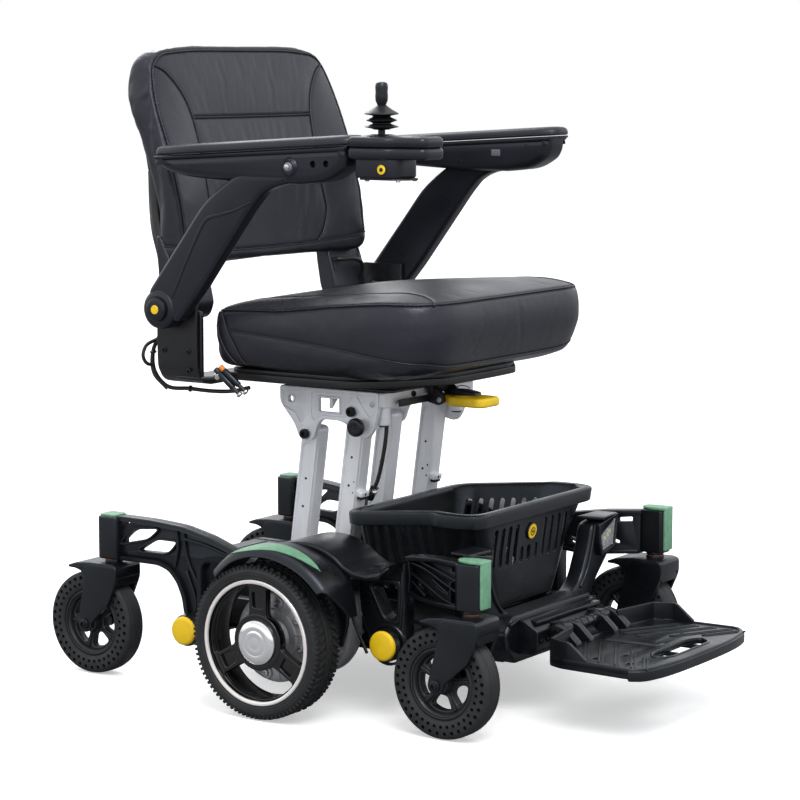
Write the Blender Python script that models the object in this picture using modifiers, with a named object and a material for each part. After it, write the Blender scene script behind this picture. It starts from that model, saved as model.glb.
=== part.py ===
"""Power wheelchair: mid-wheel base, folding seat lift, swing-up armrests and joystick.

Metres, +Z up, floor at z = 0.  The occupant faces -Y; their right hand is on -X.
Everything is modelled from the drive axle's station (y = 0 under the datum empty),
and the datum moves the whole chair so that its footprint is centred on the origin.
"""
import math

import bmesh
import bpy
from mathutils import Vector

# ---- driving dimensions ------------------------------------------------------
AXLE_Y = 0.038              # where the drive axle sits once the footprint is centred
GAP = 0.0004                # air between pieces that meet face to face

DRIVE_R = 0.110             # drive tyre radius
DRIVE_X = 0.302             # mid-plane of each drive wheel
DRIVE_W = 0.056
RIM_R = 0.0883              # outer radius of the drive rim

CASTER_R = 0.0773
CASTER_W = 0.040
CASTER_RIM_R = 0.050
FRONT_PIN = (0.2558, -0.3103)   # x, y of a front kingpin
REAR_PIN = (0.2220, 0.3415)
FRONT_TRAIL = 0.040
REAR_TRAIL = 0.035
BOSS_LOW = 0.177            # underside and top of the kingpin bosses
BOSS_TOP = 0.242

FRONT_PIVOT = (-0.152, 0.108)   # y, z of the front cross tube and its yellow discs
REAR_PIVOT = (0.199, 0.086)
DISC_R = 0.0211
DISC_X = 0.240

LIFT_LEN = 0.235            # pivot to pivot, along each lift link
LIFT_LEAN = math.radians(7.6)
LIFT_REAR_TOP = (0.062, 0.374)  # y, z of the upper pivots
LIFT_FRONT_TOP = (-0.020, 0.412)
LINK_X = (0.082, 0.111)     # inner and outer face of a link
PIN_R = 0.0060

SEAT_Z = 0.4765             # underside of the seat cushion
SEAT_HALF = 0.232
ARM_PIVOT = (0.195, 0.561)  # y, z of the armrest pivots
ARM_X = (0.264, 0.292)      # inner and outer face of an armrest's arm
BACK_PIVOT = (0.212, 0.545)
RECLINE = math.radians(10.8)

STICK = (-0.255, -0.164)    # x, y of the joystick's centre
STICK_Z = 0.795             # where it tilts

HINGE = (-0.336, 0.121)     # y, z of the footplate hinge

RIGHT, LEFT = -1, 1
SIDES = {"r": RIGHT, "l": LEFT}


# ---- scene helpers -----------------------------------------------------------
def clear_scene():
    for obj in list(bpy.data.objects):
        bpy.data.objects.remove(obj, do_unlink=True)


def new_collection(name):
    coll = bpy.data.collections.new(name)
    bpy.context.scene.collection.children.link(coll)
    return coll


clear_scene()
PARTS = new_collection("power_wheelchair")
CUTTERS = new_collection("cutters")
DATUM = bpy.data.objects.new("axle_datum", None)
DATUM.location = (0.0, AXLE_Y, 0.0)
PARTS.objects.link(DATUM)


def material(name, colour, roughness, metallic=0.0):
    mat = bpy.data.materials.new(name)
    mat.use_nodes = True
    shader = mat.node_tree.nodes["Principled BSDF"]
    shader.inputs["Base Color"].default_value = (*colour, 1.0)
    shader.inputs["Roughness"].default_value = roughness
    shader.inputs["Metallic"].default_value = metallic
    return mat


PLASTIC = material("black_plastic", (0.018, 0.019, 0.022), 0.45)
STEEL = material("black_steel", (0.016, 0.017, 0.020), 0.38, 0.2)
ALLOY = material("lift_alloy", (0.62, 0.64, 0.68), 0.35, 0.8)
MOTOR = material("motor_casting", (0.52, 0.53, 0.55), 0.4, 0.7)
RUBBER = material("tyre_rubber", (0.022, 0.023, 0.026), 0.7)
GLOSS = material("rim_gloss", (0.010, 0.010, 0.011), 0.15)
GREY = material("caster_rim", (0.045, 0.048, 0.055), 0.5)
CHROME = material("chrome", (0.85, 0.85, 0.86), 0.08, 1.0)
GREEN = material("green_inlay", (0.16, 0.35, 0.21), 0.55)
YELLOW = material("yellow", (0.95, 0.62, 0.02), 0.5)
VINYL = material("black_vinyl", (0.022, 0.024, 0.030), 0.42)
LENS = material("lamp_lens", (0.75, 0.78, 0.80), 0.1)
KNOB = material("grey_knob", (0.20, 0.21, 0.23), 0.4)
CABLE = material("cable", (0.015, 0.015, 0.016), 0.55)


def adopt(obj, name, mat, parent=None):
    obj.name = name
    obj.data.name = name
    obj.data.materials.clear()
    obj.data.materials.append(mat)
    for coll in list(obj.users_collection):
        coll.objects.unlink(obj)
    PARTS.objects.link(obj)
    obj.parent = parent or DATUM
    return obj


def as_tool(obj):
    """Turn a piece into a hidden operand of a Boolean."""
    for coll in list(obj.users_collection):
        coll.objects.unlink(obj)
    CUTTERS.objects.link(obj)
    obj.hide_render = True
    obj.display_type = "WIRE"
    obj.parent = obj.parent or DATUM
    return obj


def combine(target, tool, operation):
    mod = target.modifiers.new(operation.lower(), "BOOLEAN")
    mod.operation = operation
    mod.solver = "EXACT"
    mod.object = as_tool(tool)
    return target


def cut(target, *tools):
    for tool in tools:
        combine(target, tool, "DIFFERENCE")
    return target


def fuse(target, *tools):
    for tool in tools:
        combine(target, tool, "UNION")
    return target


def smooth(obj, angle=35):
    obj.data.shade_smooth()
    obj.data.set_sharp_from_angle(angle=math.radians(angle))
    return obj


def bevel(obj, width, segments=1):
    mod = obj.modifiers.new("bevel", "BEVEL")
    mod.width = width
    mod.segments = segments
    mod.limit_method = "ANGLE"
    mod.angle_limit = math.radians(50)
    return obj


# ---- shapes ------------------------------------------------------------------
def from_bmesh(bm, name, mat, parent=None):
    mesh = bpy.data.meshes.new(name)
    bmesh.ops.recalc_face_normals(bm, faces=bm.faces)
    bm.to_mesh(mesh)
    bm.free()
    obj = bpy.data.objects.new(name, mesh)
    return adopt(obj, name, mat, parent)


def box(name, low, high, mat=PLASTIC, round_by=0.0, parent=None):
    bm = bmesh.new()
    bmesh.ops.create_cube(bm, size=1.0)
    size = [high[k] - low[k] for k in range(3)]
    bmesh.ops.scale(bm, vec=size, verts=bm.verts)
    obj = from_bmesh(bm, name, mat, parent)
    obj.location = [(high[k] + low[k]) / 2 for k in range(3)]
    if round_by:
        bevel(obj, round_by)
    return obj


AXIS_TURN = {"X": (0, math.pi / 2, 0), "Y": (math.pi / 2, 0, 0), "Z": (0, 0, 0)}


def rod(name, axis, centre, radius, length, mat=STEEL, sides=20, tip=None, parent=None):
    """A cylinder, or a cone frustum when tip gives the radius of its far end."""
    bm = bmesh.new()
    bmesh.ops.create_cone(bm, cap_ends=True, segments=sides, radius1=radius,
                          radius2=radius if tip is None else tip, depth=length)
    obj = from_bmesh(bm, name, mat, parent)
    obj.rotation_euler = AXIS_TURN[axis]
    obj.location = centre
    return smooth(obj)


def turned(name, profile, steps, centre, mat, axis="X", parent=None):
    """A profile of (radius, height) points, outer side top to bottom, turned about its axis.

    A profile that starts on the axis stays open there; any other is closed into a ring.
    """
    bm = bmesh.new()
    verts = [bm.verts.new((radius, 0.0, height)) for radius, height in profile]
    closing = verts[1:] if profile[0][0] == 0.0 else verts[1:] + verts[:1]
    for vert, after in zip(verts, closing):
        bm.edges.new((vert, after))
    mesh = bpy.data.meshes.new(name)
    bm.to_mesh(mesh)
    bm.free()
    obj = adopt(bpy.data.objects.new(name, mesh), name, mat, parent)
    mod = obj.modifiers.new("turn", "SCREW")
    mod.axis = "Z"
    mod.steps = steps
    mod.render_steps = steps
    mod.use_merge_vertices = True
    mod.merge_threshold = 0.00005
    obj.rotation_euler = AXIS_TURN[axis]
    obj.location = centre
    return smooth(obj)


def rounded(points, radius, steps=2):
    """The outline with each corner replaced by an arc of about the given radius."""
    out = []
    count = len(points)
    for k in range(count):
        corner = Vector(points[k])
        before = Vector(points[k - 1]) - corner
        after = Vector(points[(k + 1) % count]) - corner
        reach = min(radius, before.length * 0.45, after.length * 0.45)
        start = corner + before.normalized() * reach
        end = corner + after.normalized() * reach
        for step in range(steps + 1):
            t = step / steps
            out.append(start * (1 - t) ** 2 + corner * 2 * t * (1 - t) + end * t * t)
    return out


def ring(cy, cz, radius, count=12):
    turn = 2 * math.pi / count
    return [(cy + radius * math.cos(k * turn), cz + radius * math.sin(k * turn)) for k in range(count)]


def plate(name, outline, low, high, mat=PLASTIC, holes=(), plane="YZ", parent=None):
    """A flat outline with holes, extruded from low to high across its plane."""
    curve = bpy.data.curves.new(name, "CURVE")
    curve.dimensions = "2D"
    curve.fill_mode = "BOTH"
    curve.extrude = abs(high - low) / 2
    curve.resolution_u = 1
    for loop in (outline, *holes):
        spline = curve.splines.new("POLY")
        spline.points.add(len(loop) - 1)
        for point, (a, b) in zip(spline.points, loop):
            point.co = (a, b, 0.0, 1.0)
        spline.use_cyclic_u = True
    guide = bpy.data.objects.new(name + "_outline", curve)
    bpy.context.scene.collection.objects.link(guide)
    bpy.context.view_layer.update()
    graph = bpy.context.evaluated_depsgraph_get()
    mesh = bpy.data.meshes.new_from_object(guide.evaluated_get(graph))
    bm = bmesh.new()
    bm.from_mesh(mesh)
    bmesh.ops.remove_doubles(bm, verts=bm.verts, dist=0.00002)
    bpy.data.objects.remove(guide, do_unlink=True)
    obj = from_bmesh(bm, name, mat, parent)
    middle = (low + high) / 2
    if plane == "YZ":
        obj.rotation_euler = (math.pi / 2, 0, math.pi / 2)
        obj.location = (middle, 0, 0)
    elif plane == "XZ":
        obj.rotation_euler = (math.pi / 2, 0, 0)
        obj.location = (0, middle, 0)
    else:
        obj.location = (0, 0, middle)
    return obj


def loft(name, rings, mat, parent=None):
    """Skin between closed rings of equal count, with flat end caps."""
    bm = bmesh.new()
    rows = [[bm.verts.new(point) for point in loop] for loop in rings]
    count = len(rows[0])
    for lower, upper in zip(rows, rows[1:]):
        for k in range(count):
            after = (k + 1) % count
            bm.faces.new((lower[k], lower[after], upper[after], upper[k]))
    bm.faces.new(rows[0])
    bm.faces.new(rows[-1])
    bmesh.ops.triangulate(bm, faces=bm.faces)
    return smooth(from_bmesh(bm, name, mat, parent), 40)


def wire(name, points, radius, mat=CABLE, sides=2, parent=None):
    """A round cable through a smooth curve drawn near its route points."""
    curve = bpy.data.curves.new(name, "CURVE")
    curve.dimensions = "3D"
    curve.bevel_depth = radius
    curve.bevel_resolution = sides
    curve.use_fill_caps = True
    route = smooth_route([Vector(p) for p in points])
    spline = curve.splines.new("POLY")
    spline.points.add(len(route) - 1)
    for point, place in zip(spline.points, route):
        point.co = (*place, 1.0)
    obj = bpy.data.objects.new(name, curve)
    curve.materials.append(mat)
    PARTS.objects.link(obj)
    obj.parent = parent or DATUM
    return obj


def smooth_route(points, per_span=4):
    """Catmull-Rom points through the route."""
    ends = [points[0] * 2 - points[1], *points, points[-1] * 2 - points[-2]]
    out = []
    for k in range(1, len(ends) - 2):
        a, b, c, d = ends[k - 1:k + 3]
        for step in range(per_span):
            t = step / per_span
            out.append(0.5 * (2 * b + (c - a) * t + (2 * a - 5 * b + 4 * c - d) * t * t
                              + (3 * b - a - 3 * c + d) * t ** 3))
    out.append(points[-1])
    return out


def shear(obj, slope, origin):
    """Slide a YZ plate's faces across X in proportion to their distance along Y."""
    for vert in obj.data.vertices:
        vert.co.z += slope * (vert.co.x - origin)
    return obj


def across(side, low, high):
    """Low and high X of a layer between two distances from the centre plane."""
    return sorted((side * low, side * high))


# ---- base --------------------------------------------------------------------
def lift_foot(top):
    """Lower pivot of the lift link whose upper pivot is top."""
    return (top[0] + LIFT_LEN * math.sin(LIFT_LEAN), top[1] - LIFT_LEN * math.cos(LIFT_LEAN))


REAR_FOOT = lift_foot(LIFT_REAR_TOP)
FRONT_FOOT = lift_foot(LIFT_FRONT_TOP)
CHEEK_X = (LINK_X[1] + 0.0006, LINK_X[1] + 0.0096)


def main_frame():
    frame = box("main_frame", (-0.155, -0.235, 0.078), (0.155, 0.215, 0.088), STEEL)
    for side in (RIGHT, LEFT):
        rail_x = across(side, 0.135, 0.155)
        fuse(frame, box("rail", (rail_x[0], -0.235, 0.080), (rail_x[1], 0.215, 0.125), STEEL))
        cheek = rounded([(REAR_FOOT[0] + 0.022, 0.083), (REAR_FOOT[0] + 0.018, REAR_FOOT[1] + 0.012),
                         (FRONT_FOOT[0] + 0.008, FRONT_FOOT[1] + 0.014),
                         (FRONT_FOOT[0] - 0.018, FRONT_FOOT[1] + 0.008), (-0.030, 0.083)], 0.012)
        bores = [ring(*REAR_FOOT, PIN_R + GAP), ring(*FRONT_FOOT, PIN_R + GAP)]
        fuse(frame, plate("cheek", cheek, *across(side, *CHEEK_X), STEEL, bores))
    for spot, (y, z) in (("front", FRONT_PIVOT), ("rear", REAR_PIVOT)):
        fuse(frame, rod(spot + "_tube", "X", (0, y, z), 0.0175, 2 * (DISC_X - 0.005), STEEL, 16))
    return frame


def battery_box():
    case = rounded([(0.124, 0.0885), (0.124, 0.125), (0.160, 0.158), (0.178, 0.1695),
                    (0.290, 0.1695), (0.300, 0.155), (0.300, 0.110), (0.285, 0.105),
                    (0.222, 0.105), (0.2195, 0.1055), (0.1765, 0.1055), (0.172, 0.0885)], 0.004, 2)
    shell = plate("battery_box", case, -0.072, 0.072, PLASTIC)
    return shell


def disc(side, end, pivot):
    name = "disc_" + end + "_" + side
    centre_x = SIDES[side] * (DISC_X - 0.002)
    return rod(name, "X", (centre_x, *pivot), DISC_R, 0.0052, YELLOW, 24)


def motor(side):
    sign = SIDES[side]
    body = rod("drive_motor_" + side, "X", (sign * 0.211, 0, DRIVE_R), 0.070, 0.098, MOTOR, 28)
    fuse(body, rod("gearbox_nose", "X", (sign * 0.270, 0, DRIVE_R), 0.026, 0.030, MOTOR, 16))
    fuse(body, rod("wheel_shaft", "X", (sign * 0.295, 0, DRIVE_R), 0.0085, 0.030, MOTOR, 12))
    return body


HOOD = (-0.030, 0.130)      # y, z of the motor hood's centre
HOOD_R = 0.115
FENDER_R = 0.131
ARM_START = -0.1785         # y where a front arm meets its side shell


def arc(cy, cz, radius, start, end, count):
    """Points on an arc, angles in degrees from +Y towards +Z."""
    spread = [math.radians(start + (end - start) * k / (count - 1)) for k in range(count)]
    return [(cy + radius * math.cos(a), cz + radius * math.sin(a)) for a in spread]


def side_shell(side):
    """Motor hood, drive fender and the wedge that runs down to the front disc."""
    sign = SIDES[side]
    hood = arc(*HOOD, HOOD_R, 28, 118, 9) + [(-0.117, 0.2095), (ARM_START + GAP, 0.2095), (ARM_START + GAP, 0.118),
                                              (-0.165, 0.088), (-0.142, 0.086), (-0.128, 0.100),
                                              (-0.112, 0.122)]
    inner = arc(*HOOD, HOOD_R - 0.008, 176, 22, 11)
    shell = plate("side_shell_" + side, hood + [(-0.120, 0.150)] + inner,
                  *across(sign, 0.165, 0.2595), PLASTIC)
    window = rounded([(-0.1215, 0.190), (-0.167, 0.194), (-0.165, 0.143), (-0.147, 0.143)], 0.006)
    cut(shell, plate("window", window, *across(sign, 0.15, 0.30), PLASTIC))
    relief = [(-0.100, 0.08), (-0.123, 0.132), (-0.123, 0.225), (-0.19, 0.225), (-0.19, 0.08)]
    cut(shell, plate("back_relief", relief, *across(sign, 0.15, 0.192), PLASTIC))
    outer = [(-0.100, 0.080), (-0.114, 0.150), (-0.106, 0.195), (-0.116, 0.235), (-0.19, 0.235), (-0.19, 0.080)]
    cut(shell, plate("front_relief", outer, *across(sign, 0.2220, 0.27), PLASTIC))
    cut(shell, rod("pivot_bore", "X", (sign * 0.22, *FRONT_PIVOT), 0.0185, 0.2, PLASTIC, 16))
    band = (arc(0, DRIVE_R, FENDER_R, 42, 146, 10) + arc(0, DRIVE_R, FENDER_R - 0.009, 144, 44, 10))
    fuse(shell, plate("fender", band, *across(sign, 0.2592, 0.3325), PLASTIC))
    return shell


def front_arm(side):
    """Ribbed truss from the side shell out to the front kingpin boss."""
    sign = SIDES[side]
    x, y = FRONT_PIN
    truss = rounded([(ARM_START, 0.231), (y + 0.02, 0.2415), (y - 0.020, 0.2415), (y - 0.020, BOSS_LOW),
                     (y + 0.025, BOSS_LOW), (-0.235, 0.1755), (ARM_START, 0.179)], 0.005, 1)
    slots = [rounded([(-0.195, 0.222), (-0.274, 0.227), (-0.274, 0.216), (-0.200, 0.213)], 0.004, 1),
             rounded([(-0.192, 0.203), (-0.266, 0.205), (-0.262, 0.190), (-0.205, 0.189)], 0.004, 1)]
    slope = (x - 0.205) / (y - ARM_START)
    arm = plate("front_arm_" + side, truss, *across(sign, 0.197, 0.213), PLASTIC, slots)
    shear(arm, sign * slope, ARM_START)
    boss = box("boss", (0, 0, 0), (0.034, 0.050, BOSS_TOP - BOSS_LOW), PLASTIC, 0.006)
    boss.location = (sign * x, y, (BOSS_TOP + BOSS_LOW) / 2)
    fuse(arm, boss)
    return cut(arm, rod("kingpin_bore", "Z", (sign * x, y, BOSS_LOW), 0.0085, 0.060, PLASTIC, 12))


def front_cap(side):
    """Reflective cap that wraps the boss's top and front face."""
    sign = SIDES[side]
    x, y = FRONT_PIN
    wrap = [(y + 0.020, BOSS_TOP + GAP), (y - 0.0255, BOSS_TOP + GAP), (y - 0.0255, BOSS_LOW + 0.004),
            (y - 0.0295, BOSS_LOW + 0.004), (y - 0.0295, BOSS_TOP + 0.004), (y + 0.020, BOSS_TOP + 0.005)]
    return plate("front_cap_" + side, wrap, *across(sign, x - 0.0150, x + 0.0150), GREEN)


def rear_arm(side):
    """Slotted arm from the rear kingpin boss, with a curved leg down to the rear disc."""
    sign = SIDES[side]
    x, y = REAR_PIN
    outline = [(y + 0.018, BOSS_LOW), (y + 0.018, 0.240), (0.327, 0.2435), (0.216, 0.236), (0.170, 0.224),
               (0.125, 0.206), (0.0790, 0.192), (0.0790, 0.174), (0.125, 0.186), (0.158, 0.188),
               (0.184, 0.188), (0.186, 0.165), (0.182, 0.133), (0.183, 0.0980), (0.199, 0.0900),
               (0.213, 0.104), (0.217, 0.130), (0.226, 0.152), (0.240, 0.168), (0.258, 0.1745),
               (y - 0.01, 0.1765)]
    slots = [rounded([(0.322, 0.201), (0.300, 0.225), (0.259, 0.229), (0.270, 0.214)], 0.006, 1),
             rounded([(0.291, 0.194), (0.262, 0.213), (0.229, 0.211), (0.240, 0.193)], 0.006, 1)]
    slope = (x - 0.195) / (y - 0.10)
    arm = plate("rear_arm_" + side, outline, *across(sign, 0.185, 0.205), PLASTIC, slots)
    shear(arm, sign * slope, 0.10)
    boss = rod("boss", "Z", (sign * x, y, (BOSS_TOP + BOSS_LOW) / 2), 0.0185, BOSS_TOP - BOSS_LOW, PLASTIC, 16)
    fuse(arm, boss)
    cut(arm, rod("kingpin_bore", "Z", (sign * x, y, BOSS_LOW), 0.0085, 0.060, PLASTIC, 12))
    return cut(arm, rod("tube_bore", "X", (sign * 0.2, *REAR_PIVOT), 0.0180, 0.1, PLASTIC, 16))


CRADLE_Y = (-0.285, -0.238)


def front_cradle():
    """U-shaped nose: a low cross bar whose uprights flare out to the head lamps."""
    half = [(0.108, 0.072), (0.128, 0.100), (0.150, 0.150), (0.178, 0.186), (0.194, 0.200),
            (0.194, 0.232), (0.176, 0.236), (0.148, 0.205), (0.118, 0.165), (0.090, 0.139)]
    outline = half + [(-a, b) for a, b in reversed(half)]
    cradle = plate("front_cradle", rounded(outline, 0.006, 1), *CRADLE_Y, PLASTIC, plane="XZ")
    tongue = box("hinge_block", (-0.098, -0.3195, 0.090), (0.098, -0.280, 0.134), PLASTIC)
    fuse(cradle, tongue)
    for sign in (RIGHT, LEFT):
        fuse(cradle, box("lug", (sign * 0.052 - 0.010, -0.345, 0.106), (sign * 0.052 + 0.010, -0.315, 0.130),
                         PLASTIC))
    fuse(cradle, box("tray_link", (-0.080, -0.245, 0.0885), (0.080, -0.1750, 0.1000), PLASTIC))
    return cut(cradle, rod("hinge_bore", "X", (0, *HINGE), 0.0045, 0.3, PLASTIC, 12))


def headlight(side):
    """Faceted lens on the outer front corner of a cradle upright."""
    sign = SIDES[side]
    lens = [(0.1948, -0.252), (0.1948, -0.2854), (0.180, -0.2854), (0.184, -0.293), (0.201, -0.288),
            (0.2075, -0.256)]
    outline = [(sign * a, b) for a, b in lens]
    return plate("headlight_" + side, outline, 0.192, 0.230, LENS, plane="XY")


RIM_Z = (0.274, 0.290)      # basket rim at its rear and at its front


def basket_ring(z_rear, z_front, rear_half, mid_half, front_half, y_rear, y_front, chamfer):
    """One level of the basket: a wide tub whose front corners are cut off."""
    def level(y):
        return z_rear + (z_front - z_rear) * min(1.0, (y_rear - y) / (y_rear + 0.188))
    half = [(rear_half - 0.018, y_rear), (rear_half, y_rear - 0.018), (mid_half, -0.186),
            (mid_half + 0.004, -0.196), (front_half, y_front + chamfer),
            (front_half - chamfer * 0.35, y_front + chamfer * 0.25), (front_half - chamfer, y_front)]
    loop = [(-a, b, level(b)) for a, b in half] + [(a, b, level(b)) for a, b in reversed(half)]
    return loop


def basket():
    """Open carrying tub; its upright vents are too fine for this model."""
    outer = loft("basket", [
        basket_ring(0.1405, 0.1405, 0.106, 0.100, 0.096, -0.040, -0.2365, 0.024),
        basket_ring(0.206, 0.222, 0.130, 0.130, 0.132, -0.037, -0.2440, 0.030),
        basket_ring(0.262, 0.278, 0.146, 0.150, 0.158, -0.034, -0.2520, 0.022),
        basket_ring(0.267, 0.283, 0.154, 0.158, 0.169, -0.0255, -0.2620, 0.014),
        basket_ring(*RIM_Z, 0.155, 0.159, 0.171, -0.024, -0.2630, 0.014)], PLASTIC)
    inner = loft("basket_inside", [
        basket_ring(0.1445, 0.1445, 0.102, 0.096, 0.092, -0.044, -0.2325, 0.022),
        basket_ring(0.206, 0.222, 0.126, 0.126, 0.128, -0.041, -0.2400, 0.028),
        basket_ring(0.262, 0.278, 0.142, 0.146, 0.154, -0.038, -0.2480, 0.020),
        basket_ring(0.300, 0.316, 0.142, 0.146, 0.154, -0.038, -0.2480, 0.020)], PLASTIC)
    cut(outer, inner)
    return outer


# ---- wheels ------------------------------------------------------------------
def tyre_profile(outer, inner, width, shoulder):
    half = width / 2
    return [(inner, half * 0.85), (outer - shoulder, half), (outer - shoulder * 0.25, half * 0.80),
            (outer, half * 0.45), (outer, -half * 0.45), (outer - shoulder * 0.25, -half * 0.80),
            (outer - shoulder, -half), (inner, -half * 0.85)]


def rim_profile(sign):
    """Barrel, web and hub of a drive rim; the web faces the wheel's outer side."""
    half = [(RIM_R, 0.0240), (RIM_R, -0.0240), (RIM_R - 0.006, -0.0240), (RIM_R - 0.006, 0.0060),
            (0.0360, 0.0060), (0.0360, -0.0020), (0.0095, -0.0020), (0.0095, 0.0120), (0.0, 0.0120),
            (0.0, 0.0212), (0.0360, 0.0212), (0.0380, 0.0180), (RIM_R - 0.006, 0.0180), (RIM_R - 0.006, 0.0240)]
    if sign > 0:
        return half
    return [(radius, -height) for radius, height in reversed(half)]


def drive_wheel(side):
    sign = SIDES[side]
    centre = (sign * DRIVE_X, 0, DRIVE_R)
    turned("drive_tyre_" + side, tyre_profile(DRIVE_R, RIM_R + GAP, DRIVE_W, 0.012), 28, centre, RUBBER)
    rim = turned("drive_rim_" + side, rim_profile(sign), 28, centre, GLOSS)
    for k in range(3):
        middle = 270 + 120 * k
        window = (arc(0, DRIVE_R, 0.0790, middle - 40, middle + 40, 6)
                  + arc(0, DRIVE_R, 0.0420, middle + 30, middle - 30, 3))
        cut(rim, plate("spoke_gap", window, *across(sign, 0.30, 0.33), GLOSS))
    cap = rod("hub_cap_" + side, "X", (sign * 0.3270, 0, DRIVE_R), 0.0310, 0.0064, CHROME, 24)
    bevel(cap, 0.0018)


CORNERS = {"fr": (RIGHT, FRONT_PIN, FRONT_TRAIL), "fl": (LEFT, FRONT_PIN, FRONT_TRAIL),
           "rr": (RIGHT, REAR_PIN, REAR_TRAIL), "rl": (LEFT, REAR_PIN, REAR_TRAIL)}
BLADE = (0.0225, 0.0290)    # a fork blade's inner and outer face, from the wheel's mid-plane
CROWN_Z = 0.1575


def fork(corner):
    sign, (pin_x, pin_y), trail = CORNERS[corner]
    x = sign * pin_x
    crown = rounded([(pin_y - 0.026, CROWN_Z), (pin_y - 0.026, CROWN_Z + 0.013), (pin_y + 0.030, CROWN_Z + 0.014),
                     (pin_y + 0.081, CROWN_Z + 0.003), (pin_y + 0.081, CROWN_Z - 0.001),
                     (pin_y + 0.045, CROWN_Z)], 0.003, 2)
    body = plate("fork_" + corner, crown, x - BLADE[1], x + BLADE[1], PLASTIC)
    axle_y = pin_y + trail
    for low, high in ((-BLADE[1], -BLADE[0]), BLADE):
        blade = [(pin_y - 0.022, CROWN_Z + 0.010), (pin_y + 0.032, CROWN_Z + 0.010), (pin_y + 0.034, 0.138),
                 (axle_y + 0.012, CASTER_R + 0.006), (axle_y + 0.004, CASTER_R - 0.012),
                 (axle_y - 0.006, CASTER_R - 0.011), (axle_y - 0.012, CASTER_R)]
        fuse(body, plate("blade", blade, x + low, x + high, PLASTIC))
    fuse(body, rod("kingpin", "Z", (x, pin_y, 0.1865), 0.0078, 0.036, STEEL, 12))
    fuse(body, rod("axle", "X", (x, axle_y, CASTER_R), 0.0050, 0.0620, STEEL, 12))
    return body


def caster_wheel(corner):
    sign, (pin_x, pin_y), trail = CORNERS[corner]
    centre = (sign * pin_x, pin_y + trail, CASTER_R)
    turned("caster_tyre_" + corner, tyre_profile(CASTER_R, CASTER_RIM_R + GAP, CASTER_W, 0.009), 24, centre, RUBBER)
    half = [(CASTER_RIM_R, 0.0140), (0.0430, 0.0120), (0.0145, 0.0120), (0.0145, 0.0200), (0.0056, 0.0200)]
    profile = [(r, -h) for r, h in half] + [(r, h) for r, h in reversed(half)]
    turned("caster_rim_" + corner, profile, 18, centre, GREY)


# ---- lift --------------------------------------------------------------------
def link_pair(name, top):
    """Two box links joined by a torque tube round their lower pivot."""
    foot = lift_foot(top)
    along = Vector((top[0] - foot[0], top[1] - foot[1])).normalized()
    wide = Vector((along.y, -along.x)) * 0.0135
    body = rod(name, "X", (0, *foot), 0.0125, 2 * LINK_X[1], ALLOY, 16)
    for sign in (RIGHT, LEFT):
        low = Vector(foot) - along * 0.010
        high = Vector(top) + along * 0.010
        outline = rounded([low + wide, high + wide, high - wide, low - wide], 0.008)
        bar = plate("link", outline, *across(sign, *LINK_X), ALLOY)
        fuse(body, bar)
        cut(body, rod("top_bore", "X", (sign * 0.1, *top), PIN_R + GAP, 0.06, ALLOY, 12))
        fuse(body, rod("foot_pin", "X", (sign * 0.1165, *foot), PIN_R, 0.018, ALLOY, 12))
    return body


HEAD_TOP = 0.4420


def lift_head():
    """Cast bracket on top of the links: two side cheeks, a top web and a front beam."""
    rear_y, rear_z = LIFT_REAR_TOP
    front_y, front_z = LIFT_FRONT_TOP
    web = box("lift_head", (-0.1150, -0.062, 0.4350), (0.1150, 0.106, HEAD_TOP), ALLOY)
    outline = rounded([(0.109, HEAD_TOP), (0.109, 0.418), (rear_y + 0.020, rear_z + 0.012), (rear_y + 0.012, rear_z - 0.010),
                       (rear_y - 0.012, rear_z - 0.010), (rear_y - 0.024, rear_z + 0.023), (0.005, 0.397),
                       (-0.018, 0.393), (-0.020, 0.380), (-0.046, 0.374), (-0.056, 0.386), (-0.064, HEAD_TOP)],
                      0.006, 1)
    window = [(0.046, 0.427), (0.046, 0.409), (0.010, 0.409), (0.010, 0.427)]
    for sign in (RIGHT, LEFT):
        cheek_x = across(sign, CHEEK_X[0], CHEEK_X[1])
        fuse(web, plate("head_cheek", outline, *cheek_x, ALLOY, [window]))
        for y, z in (LIFT_REAR_TOP, LIFT_FRONT_TOP):
            fuse(web, rod("bolt", "X", (sign * 0.1055, y, z), PIN_R, 0.042, STEEL, 12))
        fuse(web, rod("post", "Z", (sign * 0.095, -0.058, 0.4150), 0.0100, 0.0400, ALLOY, 12))
    fuse(web, box("front_beam", (-0.1150, -0.078, 0.4180), (0.1150, -0.058, HEAD_TOP), ALLOY))
    return cut(web, rod("plunger_bore", "X", (-0.12, -0.036, 0.392), 0.0040, 0.06, ALLOY, 12))


def lift_plunger():
    """Round pull knob that locks the lift, on its own spindle."""
    knob = rod("lift_plunger", "X", (-0.1345, -0.036, 0.392), 0.0125, 0.0110, PLASTIC, 24)
    return fuse(knob, rod("spindle", "X", (-0.1215, -0.036, 0.392), 0.0036, 0.020, PLASTIC, 12))


LEVER_PIN = (-0.092, 0.4235)


def release_lever():
    """Yellow loop handle under the seat's front edge."""
    half = [(0.013, -0.100), (0.013, -0.110), (0.030, -0.116), (0.030, -0.182), (0.020, -0.190)]
    loop = [(a + 0.010, b) for a, b in half] + [(0.010 - a, b) for a, b in reversed(half)]
    inside = [(0.028, -0.128), (0.028, -0.176), (-0.008, -0.176), (-0.008, -0.128)]
    lever = plate("release_lever", rounded(loop, 0.006), 0.4180, 0.4285, YELLOW, [rounded(inside, 0.005)], plane="XY")
    return fuse(lever, rod("lever_barrel", "X", (0.010, -0.100, LEVER_PIN[1]), 0.0052, 0.034, YELLOW, 12))


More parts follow.
